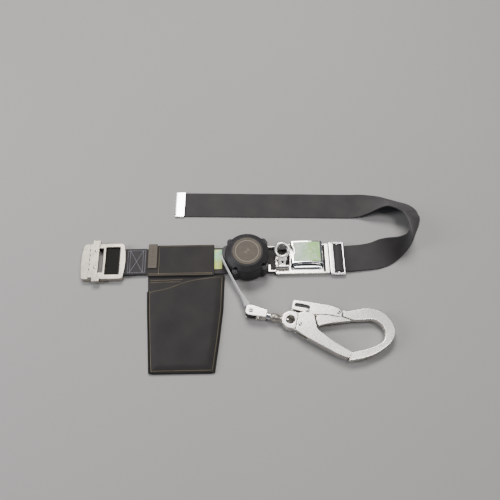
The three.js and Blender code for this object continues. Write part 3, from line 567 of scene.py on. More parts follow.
def strap_section(width, thick, ribs, rise):
    """(across, outward, side) points round a strap with rounded edges and fine ribs on its faces."""
    half, edge = width / 2, thick / 2
    steps = ribs * 4
    top = []
    for i in range(steps + 1):
        t = i / steps
        across = (half - edge) * (2 * t - 1)
        top.append((across, edge + rise * (abs(math.sin(math.pi * t * ribs)) - 1)))
    rim = [(half - edge + edge * math.sin(a), edge * math.cos(a))
           for a in (math.pi * k / 6 for k in range(1, 6))]
    bottom = [(x, -z) for x, z in reversed(top)]
    back = [(-x, -z) for x, z in rim]
    return top + rim + bottom + back


def strap_mesh(name, stations, width, thick, ribs, rise):
    """A woven strap through (at, across, up) stations, with its run and side kept as a UV map."""
    section = strap_section(width, thick, ribs, rise)
    rings, runs = [], []
    run = 0.0
    for i, (at, across, up) in enumerate(stations):
        if i:
            run += (at - stations[i - 1][0]).length
        runs.append(run)
        rings.append([at + across * x + up * z for x, z in section])
    made = loft(name, rings)
    layer = made.data.uv_layers.new(name="run")
    count = len(section)
    for loop in made.data.loops:
        ring, spot = divmod(loop.vertex_index, count)
        layer.data[loop.index].uv = (runs[ring] * MM, section[spot][0] * MM)
    return made


def resample(stations, pitch):
    """Stations spread evenly along their line, pitch apart."""
    lengths = [0.0]
    for before, after in zip(stations, stations[1:]):
        lengths.append(lengths[-1] + (after[0] - before[0]).length)
    total = lengths[-1]
    count = max(2, round(total / pitch))
    spread, k = [], 0
    for i in range(count + 1):
        want = total * i / count
        while k < len(lengths) - 2 and lengths[k + 1] < want:
            k += 1
        t = (want - lengths[k]) / max(1e-9, lengths[k + 1] - lengths[k])
        spread.append(tuple(a.lerp(b, t) for a, b in zip(stations[k], stations[k + 1])))
    return [(at, across.normalized(), up.normalized()) for at, across, up in spread]


def stitch_rows(name, rows, pitch, radius, material, slot, body, fill=0.72):
    """Rows of thread: each stitch a short bead that dips into the cloth at both ends.
    A row is a list of (point, normal) pairs."""
    points, faces = [], []
    sides, along = 6, (0, 0.12, 0.32, 0.5, 0.68, 0.88, 1)
    for row in rows:
        stations = [(Vector(p), Vector(n), Vector(n)) for p, n in row]
        even = resample(stations, pitch)
        for (start, normal, _), (stop, _, _) in zip(even, even[1:]):
            run = (stop - start) * fill
            side = run.cross(normal).normalized()
            first = len(points)
            for t in along:
                arch = math.sin(math.pi * t)
                centre = start + run * t + normal * (radius * 0.9 * arch - radius * 0.35)
                girth = radius * (0.55 + 0.45 * arch)
                for k in range(sides):
                    angle = 2 * math.pi * k / sides
                    points.append(centre + side * girth * math.cos(angle)
                                  + normal * girth * math.sin(angle))
            for r in range(len(along) - 1):
                for k in range(sides):
                    a, b = first + r * sides + k, first + r * sides + (k + 1) % sides
                    faces.append((a, b, b + sides, a + sides))
            last = first + (len(along) - 1) * sides
            faces += [tuple(range(first, first + sides))[::-1], tuple(range(last, last + sides))]
    return dress(build(name, points, faces), name, material, slot, body, smooth=180)


def sag(x, y, scale, seed=0.0):
    """Smooth noise between about -1 and 1, used for slack in cloth."""
    return noise.noise(Vector((x / scale, y / scale, seed)))


# ---- belt ---------------------------------------------------------------------------------

TAIL_TURN = [
    ((180, -23), (178, 27, 0)), ((212, -20.5), (208, 29.3, 1.5)), ((236, -17), (226, 30, 10)),
    ((256, -9), (240, 26, 30)), ((274, 5), (259, 22, 44)), ((288, 20), (276, 27, 48)),
    ((298, 35), (283, 42, 47)), ((306, 52), (281, 62, 42)), ((314, 68), (279, 76, 35)),
    ((318, 84), (279.5, 80, 31.5)), ((312, 100), (280, 78, 31.5)), ((299, 111), (276, 80, 32)),
    ((282, 117), (266, 85, 35)), ((265, 123), (252, 89.5, 34.5)), ((247, 129), (237, 88, 27)),
    ((230, 132), (223.5, 85.5, 17)), ((212, 134), (207, 85, 5)), ((192, 134.2), (190, 84.3, 0)),
]
TAIL_END = Vector((-124.4, 118.5, BELT_THICK / 2))
TAIL_ACROSS = Vector((-0.031, -0.9995, 0))


def anchor_loop():
    """The belt's end, turned round the buckle's rod and laid back on itself, as (x, z) points."""
    rod_x, rod_z, radius = -243, 5.3, 3.5
    side = [(-177, 6.5), (-190, 6.5), (-205, 6.5), (-218, 6.5), (-226, 6.6), (-235, 7.6)]
    for i in range(17):
        angle = math.radians(90 + i * 11.25)
        side.append((rod_x + radius * math.cos(angle), rod_z + radius * math.sin(angle)))
    return side + [(-235, 2.8), (-226, BELT_Z), (-205, BELT_Z)]


def slider_hump():
    side = []
    for i in range(17):
        x = SLIDER_BAR - 8 + i
        side.append((x, BELT_Z + 2.6 * (1 + math.cos(math.pi * (x - SLIDER_BAR) / 8))))
    return side


def tail_stations():
    outer = through([(x, y, 0) for (x, y), _ in TAIL_TURN], 8)
    inner = through([rim for _, rim in TAIL_TURN], 8)
    stations = []
    for i, (low, high) in enumerate(zip(outer, inner)):
        t = i / (len(outer) - 1)
        across = high - low
        across.z = max(0.0, across.z)
        across.normalize()
        a, b = max(0, i - 1), min(len(outer) - 1, i + 1)
        run = (outer[b] - outer[a]).normalized() + (inner[b] - inner[a]).normalized()
        up = run.cross(across).normalized()
        at = low + across * BELT_WIDTH / 2
        settle = BELT_THICK / 2 + (BELT_Z - BELT_THICK / 2) * max(0.0, 1 - 7 * t)
        at.z += abs(up.z) * settle + 0.2 * across.z
        stations.append((at, across, up))
    return stations


def belt_stations():
    side = anchor_loop()
    side += [(x, BELT_Z) for x in range(-190, 150, 20)] + slider_hump() + [(173, BELT_Z)]
    across = Vector((0, 1, 0))
    stations = []
    for i, (x, z) in enumerate(side):
        before, after = side[max(0, i - 1)], side[min(len(side) - 1, i + 1)]
        run = Vector((after[0] - before[0], 0, after[1] - before[1]))
        stations.append((Vector((x, BELT_Y, z)), across, run.cross(across).normalized()))
    stations += tail_stations()
    tip = (TAIL_END, TAIL_ACROSS, Vector((0, 0, 1)))
    start = stations[-1]
    stations += [tuple(a.lerp(b, k / 12) for a, b in zip(start, tip)) for k in range(1, 13)]
    return resample(stations, 2.5)


def relaxed(stations):
    """Slack along a strap: small sideways drift and a faint ripple, none where it is held."""
    eased = []
    for at, across, up in stations:
        loose = 1.0 if at.y > 60 or at.x > 185 else 0.15
        drift = sag(at.x, at.y, 70, 3) * 0.5 * loose
        lift = 0.25 * loose * (sag(at.x, at.y, 22, 5) + 1) * (1 if up.z > 0.9 else 0)
        eased.append((at + across * drift + up * lift, across, up))
    return eased


def belt_stitches():
    """The sewn box and cross that closes the belt round the buckle's rod."""
    x0, x1, y0, y1, z = -209.5, -179, -20, 22, 7.62
    up = (0, 0, 1)
    rows = []
    corners = [(x0, y0), (x1, y0), (x1, y1), (x0, y1), (x0, y0)]
    for a, b in zip(corners, corners[1:]):
        rows.append([((*a, z), up), ((*b, z), up)])
    rows.append([((x0 + 4, y0, z), up), ((x0 + 4, y1, z), up)])
    rows.append([((x1 - 4, y0, z), up), ((x1 - 4, y1, z), up)])
    rows.append([((x0 + 4, y0, z), up), ((x1 - 4, y1, z), up)])
    rows.append([((x0 + 4, y1, z), up), ((x1 - 4, y0, z), up)])
    return rows


def add_belt():
    webbing = strap_mesh("belt_webbing_woven", relaxed(belt_stations()),
                         BELT_WIDTH, BELT_THICK, 24, 0.14)
    dress(webbing, "belt_webbing_woven", "dark_webbing", "dark_webbing", "frame",
          "belt_webbing", smooth=60)
    stitch_rows("belt_anchor_stitching", belt_stitches(), 3.2, 0.55, "grey_thread",
                "dark_webbing", "frame")
    tip = bevelled(from_cad("belt_tip"), 0.5)
    dress(tip, "belt_tip_cap", "bright_steel", "bright_steel", "frame", "belt_tip", smooth=50)
    label = bevelled(block(-57.6, -44, -15, 22.6, 5.35, 5.95), 0.18, 2)
    dress(label, "belt_label_film", "belt_film", "green_label", "frame", "belt_label")


# ---- pouch --------------------------------------------------------------------------------

POUCH_LEFT = [(-174, -22), (-172.6, -50), (-170.4, -90), (-166.4, -145), (-162.6, -197)]
POUCH_RIGHT = [(-40.6, -26), (-41.6, -50), (-43.2, -90), (-49.6, -145), (-56.8, -198)]
MOUTH = [(-173, -55), (-158, -53.6), (-142, -50.6), (-127, -45.5), (-113, -39.6), (-95, -34.6),
         (-75, -31.2), (-57, -29.2), (-41, -28.2)]
POUCH_FLOOR, POUCH_CREST, POUCH_BOTTOM = 2.7, 12.6, -197.5
SEAM_INSET = 3.5


def line_at(line, key, want, out):
    """The out coordinate of a polyline where its key coordinate has the value wanted."""
    ordered = sorted(line, key=lambda p: p[key])
    for a, b in zip(ordered, ordered[1:]):
        if want <= b[key]:
            break
    t = (want - a[key]) / (b[key] - a[key])
    return a[out] + (b[out] - a[out]) * min(1.0, max(0.0, t))


def pouch_height(x, y):
    """How high the pouch's front stands: flat on its seams, then slack cloth with broad folds."""
    left = line_at(POUCH_LEFT, 1, y, 0)
    right = line_at(POUCH_RIGHT, 1, y, 0)
    gap = min(x - left, right - x, (y - POUCH_BOTTOM) * 1.15)
    t = min(1.0, max(0.0, (gap - 1.2) / 15))
    swell = math.sin(t * math.pi / 2) ** 1.1
    belly = 0.72 + 0.16 * math.sin(math.pi * min(1, max(0, (y + 198) / 160)))
    folds = 1.5 * sag(x, y * 0.55, 34, 1) + 0.8 * sag(x * 0.8 + y * 0.5, y * 0.3, 19, 2)
    mouth_gap = line_at(MOUTH, 0, x, 1) - y
    slack = 1.0 - 0.22 * math.exp(-mouth_gap / 22)
    return POUCH_FLOOR + swell * ((POUCH_CREST - POUCH_FLOOR) * belly * slack + folds)


def pouch_point(u, v, inset=0.0, lift=0.0):
    """A point of the front panel, u from its left seam to its right, v from its mouth down."""
    x = 0.0
    y = -100.0
    for _ in range(4):
        left = line_at(POUCH_LEFT, 1, y, 0) + inset
        right = line_at(POUCH_RIGHT, 1, y, 0) - inset
        x = left + (right - left) * u
        top = line_at(MOUTH, 0, x, 1)
        y = top + (POUCH_BOTTOM + inset - top) * v
    return Vector((x, y, pouch_height(x, y) + lift))


def pouch_front_mesh():
    """A shell of cloth: outer face, hem at the mouth, and inner face, closed along its seams."""
    columns, rows, thick = 84, 104, 1.3
    outer, inner = [], []
    for j in range(rows + 1):
        for i in range(columns + 1):
            p = pouch_point(i / columns, j / rows)
            outer.append(p)
            inner.append(Vector((p.x, p.y, max(POUCH_FLOOR - 0.05, p.z - thick))))
    hem = [p + Vector((0, 0.5, -thick / 2)) for p in outer[:columns + 1]]
    points = outer + inner + hem
    wide = columns + 1
    faces = []
    for j in range(rows):
        for i in range(columns):
            a = j * wide + i
            faces.append((a, a + 1, a + 1 + wide, a + wide))
            b = a + len(outer)
            faces.append((b, b + wide, b + 1 + wide, b + 1))
    base, rim = len(outer), len(outer) * 2
    for i in range(columns):
        faces.append((i, rim + i, rim + i + 1, i + 1))
        faces.append((rim + i, base + i, base + i + 1, rim + i + 1))
        a = rows * wide + i
        faces.append((a, a + 1, base + a + 1, base + a))
    for j in range(rows):
        a, b = j * wide, (j + 1) * wide
        faces.append((a, b, base + b, base + a))
        a, b = a + columns, b + columns
        faces.append((a, base + a, base + b, b))
    faces.append((0, base, rim))
    faces.append((columns, rim + columns, base + columns))
    return build("pouch_front_cloth", points, faces)


def cloth_panel(outline, low, thick, ripple, seed):
    """A flat piece of cloth cut to an outline, with a rounded rim and a slight ripple."""
    panel = prism(outline, low, low + thick)
    soften(panel, 0.55, 6)
    for vertex in panel.data.vertices:
        x, y, z = vertex.co / MM
        share = (z - low) / thick
        vertex.co.z += ripple * share * (sag(x, y, 26, seed) + 0.4) * MM
    return panel


def bead(name, line, width, height, material, slot, body, steps=8):
    """A folded binding laid along a line of (point, outward) pairs."""
    rings = []
    for point, outward in line:
        point, outward = Vector(point), Vector(outward).normalized()
        rings.append([point + outward * (width / 2 * math.cos(a)) + Vector((0, 0, height / 2 * math.sin(a)))
                      for a in (2 * math.pi * k / steps for k in range(steps))])
    return dress(loft(name, rings), name, material, slot, body, smooth=180)


def pouch_edge(inset, lift):
    """The seam line down the left side, along the bottom and up the right side."""
    line = []
    for k in range(40):
        p = pouch_point(0, k / 39, inset)
        line.append((p, Vector((-1, 0, 0))))
    for k in range(1, 30):
        p = pouch_point(k / 30, 1, inset)
        line.append((p, Vector((0, -1, 0))))
    for k in range(40):
        p = pouch_point(1, 1 - k / 39, inset)
        line.append((p, Vector((1, 0, 0))))
    return [(p + Vector((0, 0, lift)), out) for p, out in line]


def surface_row(points, lift=0.1):
    """A row of stitches on the pouch's front through (x, y) points."""
    row = []
    for x, y in points:
        z = pouch_height(x, y)
        dx = pouch_height(x + 0.5, y) - pouch_height(x - 0.5, y)
        dy = pouch_height(x, y + 0.5) - pouch_height(x, y - 0.5)
        row.append((Vector((x, y, z + lift)), Vector((-dx, -dy, 1)).normalized()))
    return row


def pouch_stitches():
    up = Vector((0, 0, 1))
    rows = []
    seam = [(p.x, p.y) for p, _ in pouch_edge(SEAM_INSET, 0)]
    rows.append(surface_row(seam))
    mouth = through([(x, y - 2.6, 0) for x, y in MOUTH], 6)
    rows.append(surface_row([(p.x, p.y) for p in mouth[2:-2]]))
    for start, end in (((-168, -34.8), (-112, -33.4)), ((-168, -38.6), (-116, -37.4))):
        rows.append([(Vector((*start, 4.35)), up), (Vector((*end, 4.35)), up)])
    return rows


def band_stitches():
    up = (0, 0, 1)
    z = 7.42
    rows = [[((-172, y, z - 0.1), up), ((-60, y, z - 0.1), up)] for y in (-22.6, -25.2)]
    rows += [[((x, -24.5, z), up), ((x, 29.5, z), up)] for x in (-154.8,)]
    rows.append([((-154, 29.6, z), up), ((-60, 29.6, z), up)])
    return rows


def add_pouch():
    back = corner_outline([(-162.4, -198, 6), (-57, -199, 6), (-43, -92, 30), (-40.5, -24, 4),
                           (-58, -22, 2), (-58, 30, 3), (-173, 30, 3), (-174, -20, 4),
                           (-170.5, -90, 20)])
    panel = cloth_panel(back, 0.35, 1.85, 0.0, 4)
    dress(panel, "pouch_back_cloth", "canvas", "canvas", "frame", "pouch_back", smooth=60)
    pocket = corner_outline([(-155, -186, 8), (-67, -187, 8), (-53, -92, 30), (-50.5, -36, 3),
                             (-80, -35, 10), (-112, -31.5, 6), (-170.4, -33, 3), (-166.6, -90, 20)])
    inner = cloth_panel(pocket, 2.6, 1.3, 0.2, 6)
    dress(inner, "pouch_pocket_cloth", "canvas", "canvas", "frame", "pouch_pocket", smooth=60)
    dress(pouch_front_mesh(), "pouch_front_cloth", "canvas", "canvas", "frame",
          "pouch_front", smooth=60)
    band = fuse(block(-173, -58, -27, 31.5, 5.35, 7.3), block(-173, -58, -27, -24.2, 2.6, 7.3),
                block(-173, -58, 28.2, 31.5, 2.6, 7.3))
    soften(band, 0.5, 5)
    for vertex in band.data.vertices:
        x, y, z = vertex.co / MM
        if z > 6.4:
            vertex.co.z += 0.35 * sag(x, y, 24, 8) * MM
    dress(band, "pouch_band_cloth", "canvas", "canvas", "frame", "pouch_band", smooth=60)
    bead("pouch_binding", pouch_edge(0.2, 0.1), 3.2, 3.4, "binding", "canvas", "frame")
    top_edge = [(Vector((x, 31.2, 5.6)), Vector((0, 1, 0))) for x in range(-157, -58, 7)]
    bead("pouch_band_binding", top_edge, 2.4, 3.6, "binding", "canvas", "frame")
    stitch_rows("pouch_seam_stitching", pouch_stitches(), 3.4, 0.5, "olive_thread", "canvas", "frame")
    stitch_rows("pouch_band_stitching", band_stitches(), 3.4, 0.5, "olive_thread", "canvas", "frame")
    add_pouch_tag()


def add_pouch_tag():
    tag = fuse(block(-174, -158.3, -12.8, 34, 7.7, 9.9), block(-174, -158.3, 32, 34, 2.6, 9.9))
    soften(tag, 0.4, 5)
    dress(tag, "pouch_tag_moulded", "tag_rubber", "tag_rubber", "frame", "pouch_tag", smooth=60)
    frame_line = corner_outline([(-172.4, -11, 2), (-160, -11, 2), (-160, 27.5, 2), (-172.4, 27.5, 2)])
    line = [(Vector((x, y, 9.85)), Vector((x + 166.2, y - 8, 0))) for x, y in frame_line]
    bead("pouch_tag_border", line + line[:1], 0.9, 0.7, "tag_rubber", "tag_rubber", "frame")
    ridges = [rod(0.55, (-169.6, y, 9.8), (-162.8, y, 9.8)) for y in (-5, 0, 5, 10, 15, 20)]
    ridges += [disc(-166.2, 24, 1.7, 9.6, 10.25)]
    marks = soften(fuse(*ridges), 0.18, 3)
    dress(marks, "pouch_tag_ridges", "tag_rubber", "tag_rubber", "frame", smooth=180)


# ---- reel ---------------------------------------------------------------------------------

def housing_shape(inset, low, high):
    """The covers' outline as a solid: a round body, four screw lugs, the strap's boss, the flat."""
    radius = HOUSING_RADIUS - inset
    boss = [(-43.4 + inset, 0.6), (-42.6 + inset, -0.9 + inset / 2), (-33.8 + inset, -17 + inset),
            (-20, -17), (-20, 20 - inset), (-37, 17 - inset, 3), (-43.4 + inset, 12 - inset, 3)]
    return fuse(
        disc(0, 0, radius, low, high, steps=160),
        *[disc(x, y, 6 - inset, low, high) for x, y in LUGS],
        prism(corner_outline(boss), low, high),
        block(0, 35.8 - inset, -24 + inset, 24 - inset, low, high),
        block(-26, 28, -28 + inset, 28 - inset, low, high),
    )


def strap_mouth():
    return carve(block(-60, -26, -30, 4.5, STRAP_Z - 8.6, STRAP_Z + 8.6),
                 block(-34.2, 0, -40, 40, 0, 60))


def front_cover():
    shell = housing_shape(0, HOUSING_SPLIT + 0.3, 33.6)
    crown = lathe("crown", [(36, 30), (37.5, 33), (37.5, 36.2), (36.7, 37.6), (27.6, 44.4),
                            (26.2, 44.9), (25.4, 44.9), (25.3, 43.9), (0, 43.9)], 160)
    recesses = [disc(x, y, 3.6, 32.6, 40) for x, y in LUGS]
    cover = carve(fuse(shell, crown), lathe("hollow", [(34, 10), (34, 33), (31, 40), (0, 40)], 96),
                  strap_mouth(), *recesses)
    soften(cover, 0.45, 7)
    return cover


def add_badge():
    disc_plate = lathe("badge", [(0, 44.2), (24.6, 44.2), (24.9, 44.6), (24.9, 45.3), (24.4, 45.7),
                                 (23.2, 45.75), (22.7, 45.45), (22.1, 45.35), (18, 45.42), (14, 45.46),
                                 (10, 45.48), (6, 45.5), (3, 45.5), (0, 45.5)], 160)
    dress(disc_plate, "cover_badge_disc", "badge", "badge", "frame", "cover_badge", smooth=60)
    # The real badge's mark is left out. This plain ring is generic.
    ring = carve(disc(0, 0, 20.4, 45.2, 45.6, steps=128), disc(0, 0, 19.2, 45, 46, steps=128))
    dress(bevelled(ring, 0.08, 2), "cover_badge_stripe", "badge_mark", "badge", "frame")


def add_screws():
    for number, (x, y) in enumerate(LUGS, 1):
        head = lathe("head", [(0, 20), (1.6, 20), (1.6, 32.8), (3.2, 32.9), (3.3, 33.1), (3.3, 34.1),
                              (3.0, 34.5), (0, 34.6)], 48, Matrix.Translation((x, y, 0)))
        hexagon = [(x + 1.35 * math.cos(a), y + 1.35 * math.sin(a))
                   for a in (math.pi / 3 * k for k in range(6))]
        carve(head, prism(hexagon, 33.3, 36))
        dress(head, f"housing_screw_head_{number}", "dark_screw", "spring_steel", "frame",
              f"housing_screw_{number}", smooth=35)


def rear_cover():
    shell = housing_shape(0, 5.6, HOUSING_SPLIT)
    hollow = disc(0, 0, 34.5, 8, 20, steps=96)
    cover = carve(shell, hollow, strap_mouth(), disc(0, 0, 6.3, 0, 12, steps=48))
    return soften(cover, 0.5, 6)


def add_reel():
    dress(front_cover(), "front_cover_shell", "housing", "housing", "frame", "front_cover", smooth=180)
    dress(rear_cover(), "rear_cover_shell", "housing", "housing", "frame", "rear_cover", smooth=180)
    add_badge()
    add_screws()
    rounded_copy("belt_plate", "belt_plate_moulded", "housing", "housing", "frame", 0.4, 4)


# ---- lifeline strap -----------------------------------------------------------------------

def lifeline_stations():
    """The strap on edge, off the guide roller and down to the sleeve."""
    heading = STRAP_RUN.normalized()
    up = Vector((heading.y, -heading.x, 0))
    if up.dot(Vector((-1, 0, 0))) < 0:
        up = -up
    free = STRAP_RUN.length
    level = Vector((0, 0, 1))
    stations = []
    leave = math.atan2(up.y, up.x)
    for i in range(13):
        angle = leave - 1.35 + 1.35 * i / 12
        out = Vector((math.cos(angle), math.sin(angle), 0))
        stations.append((Vector((ROLLER.x, ROLLER.y, STRAP_Z)) + out * ROLLER_WRAP, level, out))
    for i in range(1, 31):
        t = (free - 33) / free * i / 30
        at = STRAP_START + STRAP_RUN * t
        drop = min(1.0, t * free / (free - 36))
        bow = 0.7 * math.sin(math.pi * i / 30)
        at = at + up * bow
        at.z = STRAP_Z + (LINK_PIN.z - STRAP_Z) * drop
        stations.append((at, level, up))
    return resample(stations, 1.5)


def add_lifeline():
    strap = strap_mesh("lifeline_strap_woven", lifeline_stations(), STRAP_WIDTH, STRAP_THICK, 8, 0.12)
    dress(strap, "lifeline_strap_woven", "white_webbing", "white_webbing", None,
          "lifeline_strap", smooth=60)
    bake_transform(strap)
    add_sleeve()
    add_strap_eye()


def add_sleeve():
    """A shrunk sleeve over the sewn strap: tapering, with the stitch bars showing through."""
    rings = []
    for k in range(45):
        t = k / 44
        x = 10.8 + 22.4 * t
        half_y = 6.7 + (3.0 - 6.7) * t ** 0.8 + 0.16 * math.sin(k * 1.35)
        half_z = 9.0 - 0.7 * t + 0.1 * math.sin(k * 1.35)
        if k in (0, 44):
            half_y, half_z = half_y - 0.7, half_z - 0.7
        ring = []
        for i in range(40):
            a = 2 * math.pi * i / 40
            c, s = math.cos(a), math.sin(a)
            ring.append((x, half_y * math.copysign(abs(c) ** 0.55, c),
                         half_z * math.copysign(abs(s) ** 0.35, s)))
        rings.append(ring)
    sleeve = loft("sleeve", rings, EYE_FRAME)
    dress(sleeve, "stitch_sleeve_shrunk", "grey_sleeve", "grey_sleeve", "strap_end",
          "stitch_sleeve", smooth=60)


def add_strap_eye():
    inner, wrap = 3.4, 1.0
    loop = []
    for k in range(37):
        a = math.radians(60 + 240 * k / 36)
        loop.append(Vector((math.cos(a), math.sin(a), 0)) * (inner + wrap))
    line = [Vector((24, 1.1, 0)), Vector((14, 2.4, 0)), *loop, Vector((14, -2.4, 0)), Vector((24, -1.1, 0))]
    stations = []
    for i, at in enumerate(line):
        run = (line[min(i + 1, len(line) - 1)] - line[max(i - 1, 0)]).normalized()
        stations.append((EYE_FRAME @ at, Vector((0, 0, 1)),
                         EYE_FRAME.to_3x3() @ run.cross(Vector((0, 0, 1)))))
    eye = strap_mesh("eye", resample(stations, 0.8), STRAP_WIDTH - 0.6, 1.7, 8, 0.12)
    dress(eye, "strap_eye_woven", "white_webbing", "white_webbing", "strap_end", "strap_eye", smooth=60)
    rings = []
    for k in range(61):
        a = math.radians(58 + 244 * k / 60)
        ring = []
        for i in range(28):
            b = 2 * math.pi * i / 28
            out = 8.35 + 1.9 * math.copysign(abs(math.cos(b)) ** 0.5, math.cos(b))
            up = 6.3 * math.copysign(abs(math.sin(b)) ** 0.4, math.sin(b))
            ring.append((out * math.cos(a), out * math.sin(a), up))
        rings.append(ring)
    guard = loft("guard", rings, EYE_FRAME)
    dress(guard, "eye_guard_moulded", "black_rubber", "black_rubber", "strap_end", "eye_guard", smooth=70)


# ---- link and swivel ----------------------------------------------------------------------

def along_x(place):
    """A place whose +Z runs along the given place's +X."""
    return place @ Matrix.Rotation(math.pi / 2, 4, "Y")


def add_link():
    cheek = corner_outline([(-8.6, -8.6, 6.5), (2, -8.8, 4), (20, -6.8, 2), (27, -6.4, 2),
                            (27, 6.4, 2), (20, 6.8, 2), (2, 8.8, 4), (-8.6, 8.6, 6.5)])
    clevis = carve(
        prism(cheek, -10.3, 10.3, LINK_FRAME),
        block(-12, 19.4, -12, 12, -7.9, 7.9, LINK_FRAME),
        disc(0, 0, 3.1, -20, 20, LINK_FRAME),
        rod(3.5, (10, 0, 0), (40, 0, 0), LINK_FRAME),
    )
    dress(soften(clevis, 0.3, 5), "link_clevis_forged", "satin_steel", "satin_steel", "link",
          "link_clevis", smooth=180)
    pin = lathe("pin", [(0, -11.5), (3.4, -11.4), (4, -11.0), (4, -10.7), (2.8, -10.6), (2.8, 10.6),
                        (4, 10.7), (4, 11.0), (3.3, 11.55), (2.0, 11.6), (1.7, 11.2), (1.6, 9.4),
                        (0, 9.3)],
                64, LINK_FRAME)
    dress(pin, "link_pin_turned", "rivet_steel", "bright_steel", "link", "link_pin", smooth=35)
    axis = along_x(LINK_FRAME)
    washer = carve(
        lathe("washer", [(0, 27.3), (5.6, 27.3), (6, 27.7), (6, 29.4), (5.3, 29.9), (5.3, 30.8),
                         (6, 31.3), (6, 33.4), (5.6, 33.8), (0, 33.8)], 64, axis),
        rod(3.5, (20, 0, 0), (40, 0, 0), LINK_FRAME))
    dress(washer, "swivel_washer_turned", "bright_steel", "bright_steel", "link",
          "swivel_washer", smooth=35)
    add_swivel(axis)


def add_swivel(axis):
    profile = through([(4.4, 34.25), (5.6, 34.9), (6.5, 37.2), (7, 41), (6.4, 45.2), (5.1, 48.4),
                       (4.5, 50.6), (4.4, 52.9)], 5)
    rounds = [(0, 34.2), *[(p[0], p[1]) for p in profile], (0, 53)]
    ball = lathe("ball", rounds, 72, axis)
    dimples = []
    for k in (-1, 0, 1):
        angle = k * math.radians(50)
        spot = LINK_FRAME @ Matrix.Translation((40.5, 7.2 * math.sin(angle), 7.2 * math.cos(angle)))
        arc = [(1.5 * math.sin(math.pi * i / 12), -1.5 * math.cos(math.pi * i / 12)) for i in range(13)]
        dimples.append(lathe("dimple", arc, 24, spot))
    carve(ball, rod(3.5, (30, 0, 0), (60, 0, 0), LINK_FRAME), *dimples)
    dress(ball, "swivel_ball_turned", "cream_metal", "cream_metal", "hook", "swivel_ball", smooth=30)
    stud = lathe("stud", [(0, 14.6), (4.6, 14.6), (5, 15), (5, 18.2), (4.6, 18.6), (3.2, 18.7),
                          (3.2, 61.9), (3.9, 62), (3.9, 63.8), (3.5, 64.2), (0, 64.2)], 48, axis)
    dress(stud, "swivel_stud_turned", "bright_steel", "bright_steel", "hook", "swivel_stud", smooth=35)


# ---- snap hook ----------------------------------------------------------------------------

def bow_outline():
    outer = through([(82, 37.9), (91, 38.4), (103, 43.6), (121, 51.2), (140, 52.4), (156, 45.6),
                     (168.4, 33), (172.4, 17.5), (167.4, 0), (151, -19.5), (131, -34),
                     (110, -43.5), (106, -44.6)], 8)
    inner = through([(106, -31.4), (129, -20.4), (147.6, -8), (156.6, 4), (155.4, 19), (147, 29),
                     (133, 33.2), (116, 28.6), (101, 24.6)], 8)
    nose = [(84.2, 26.4), (83.8, 31.2), (79.8, 37.6)]
    return [(p.x, p.y) for p in outer + inner] + nose


def head_outline():
    return corner_outline([
        (-9, -12, 3), (-12, 0), (-6, 12, 3), (12, 16), (16.5, 28, 5), (30, 30, 5), (32, 17, 4),
        (27, 4), (27, -12, 3), (55, -16, 2), (75, -23), (107, -32.6), (107, -36.2),
        (88, -32.2), (60, -26.2), (30, -19.6, 4), (10, -15, 4)])


def hook_body():
    bow = prism(bow_outline(), -HOOK_BOW, HOOK_BOW, HOOK_FRAME)
    soften(bow, 0.5, 13)
    boss = prism(corner_outline([
        (-14.2, -7, 4), (-14.2, 7, 4), (-4, 15.4, 4), (9, 14.4, 3), (15, 0, 2), (9, -14.6, 3),
        (-4, -15.2, 4)]), -HOOK_BOSS, HOOK_BOSS, HOOK_FRAME)
    carve(boss, block(11, 40, -40, 40, HOOK_CORE, 20, HOOK_FRAME),
          block(11, 40, -40, 40, -20, -HOOK_CORE, HOOK_FRAME))
    soften(boss, 0.45, 8)
    head = prism(head_outline(), -HOOK_CORE, HOOK_CORE, HOOK_FRAME)
    soften(head, 0.45, 4)
    body = carve(
        fuse(head, bow, boss),
        disc(0, 0, 7.6, -20, 20, HOOK_FRAME, 96),
        rod(3.5, (-20, 0, 0), (0, 0, 0), HOOK_FRAME),
        disc(*GATE_PIVOT, 2.4, -20, 20, HOOK_FRAME),
        disc(*LEVER_PIVOT, 2.4, -20, 20, HOOK_FRAME),
        disc(*GATE_PIVOT, 5.6, 0.6, 20, HOOK_FRAME),
        rod(3, (81.2, -36.3, 0), (78.8, -27.4, 0), HOOK_FRAME),
    )
    return soften(body, 0.42, 4)


def hook_gate():
    cheek = corner_outline([(-2.2, 19.6, 3), (-2.2, 35.6, 4), (26, 38.2, 6), (64, 40.6, 8),
                            (77, 37.6, 4), (82.4, 30, 3), (79, 25, 2), (55, 23.6, 6), (37, 18.6, 4),
                            (20, 18.4, 3)])
    finger = corner_outline([(40.8, 12, 1), (47, 1.6, 1), (61, 9.6, 6), (88, 19.6, 8), (98, 23),
                             (98.6, 24), (84, 25.6), (79, 28, 1), (55, 27, 4), (42, 24, 2)])
    slot_line = corner_outline([(1.4, 24.4, 2.8), (14, 25.8, 8), (28.6, 26.6, 2.2), (26.6, 31.4, 2.4),
                                (14, 32.4, 8), (1, 30.8, 2.8)])
    gate = carve(
        fuse(prism(cheek, GATE_IN, GATE_OUT, HOOK_FRAME),
             prism(finger, -GATE_IN - 0.2, GATE_IN + 0.2, HOOK_FRAME),
             prism(cheek, -GATE_OUT, -GATE_IN, HOOK_FRAME)),
        prism(slot_line, -20, 20, HOOK_FRAME),
        disc(*GATE_PIVOT, 2.4, -20, 20, HOOK_FRAME),
        disc(*NOSE_PIN, 2.2, -20, 20, HOOK_FRAME),
    )
    return soften(gate, 0.34, 5)


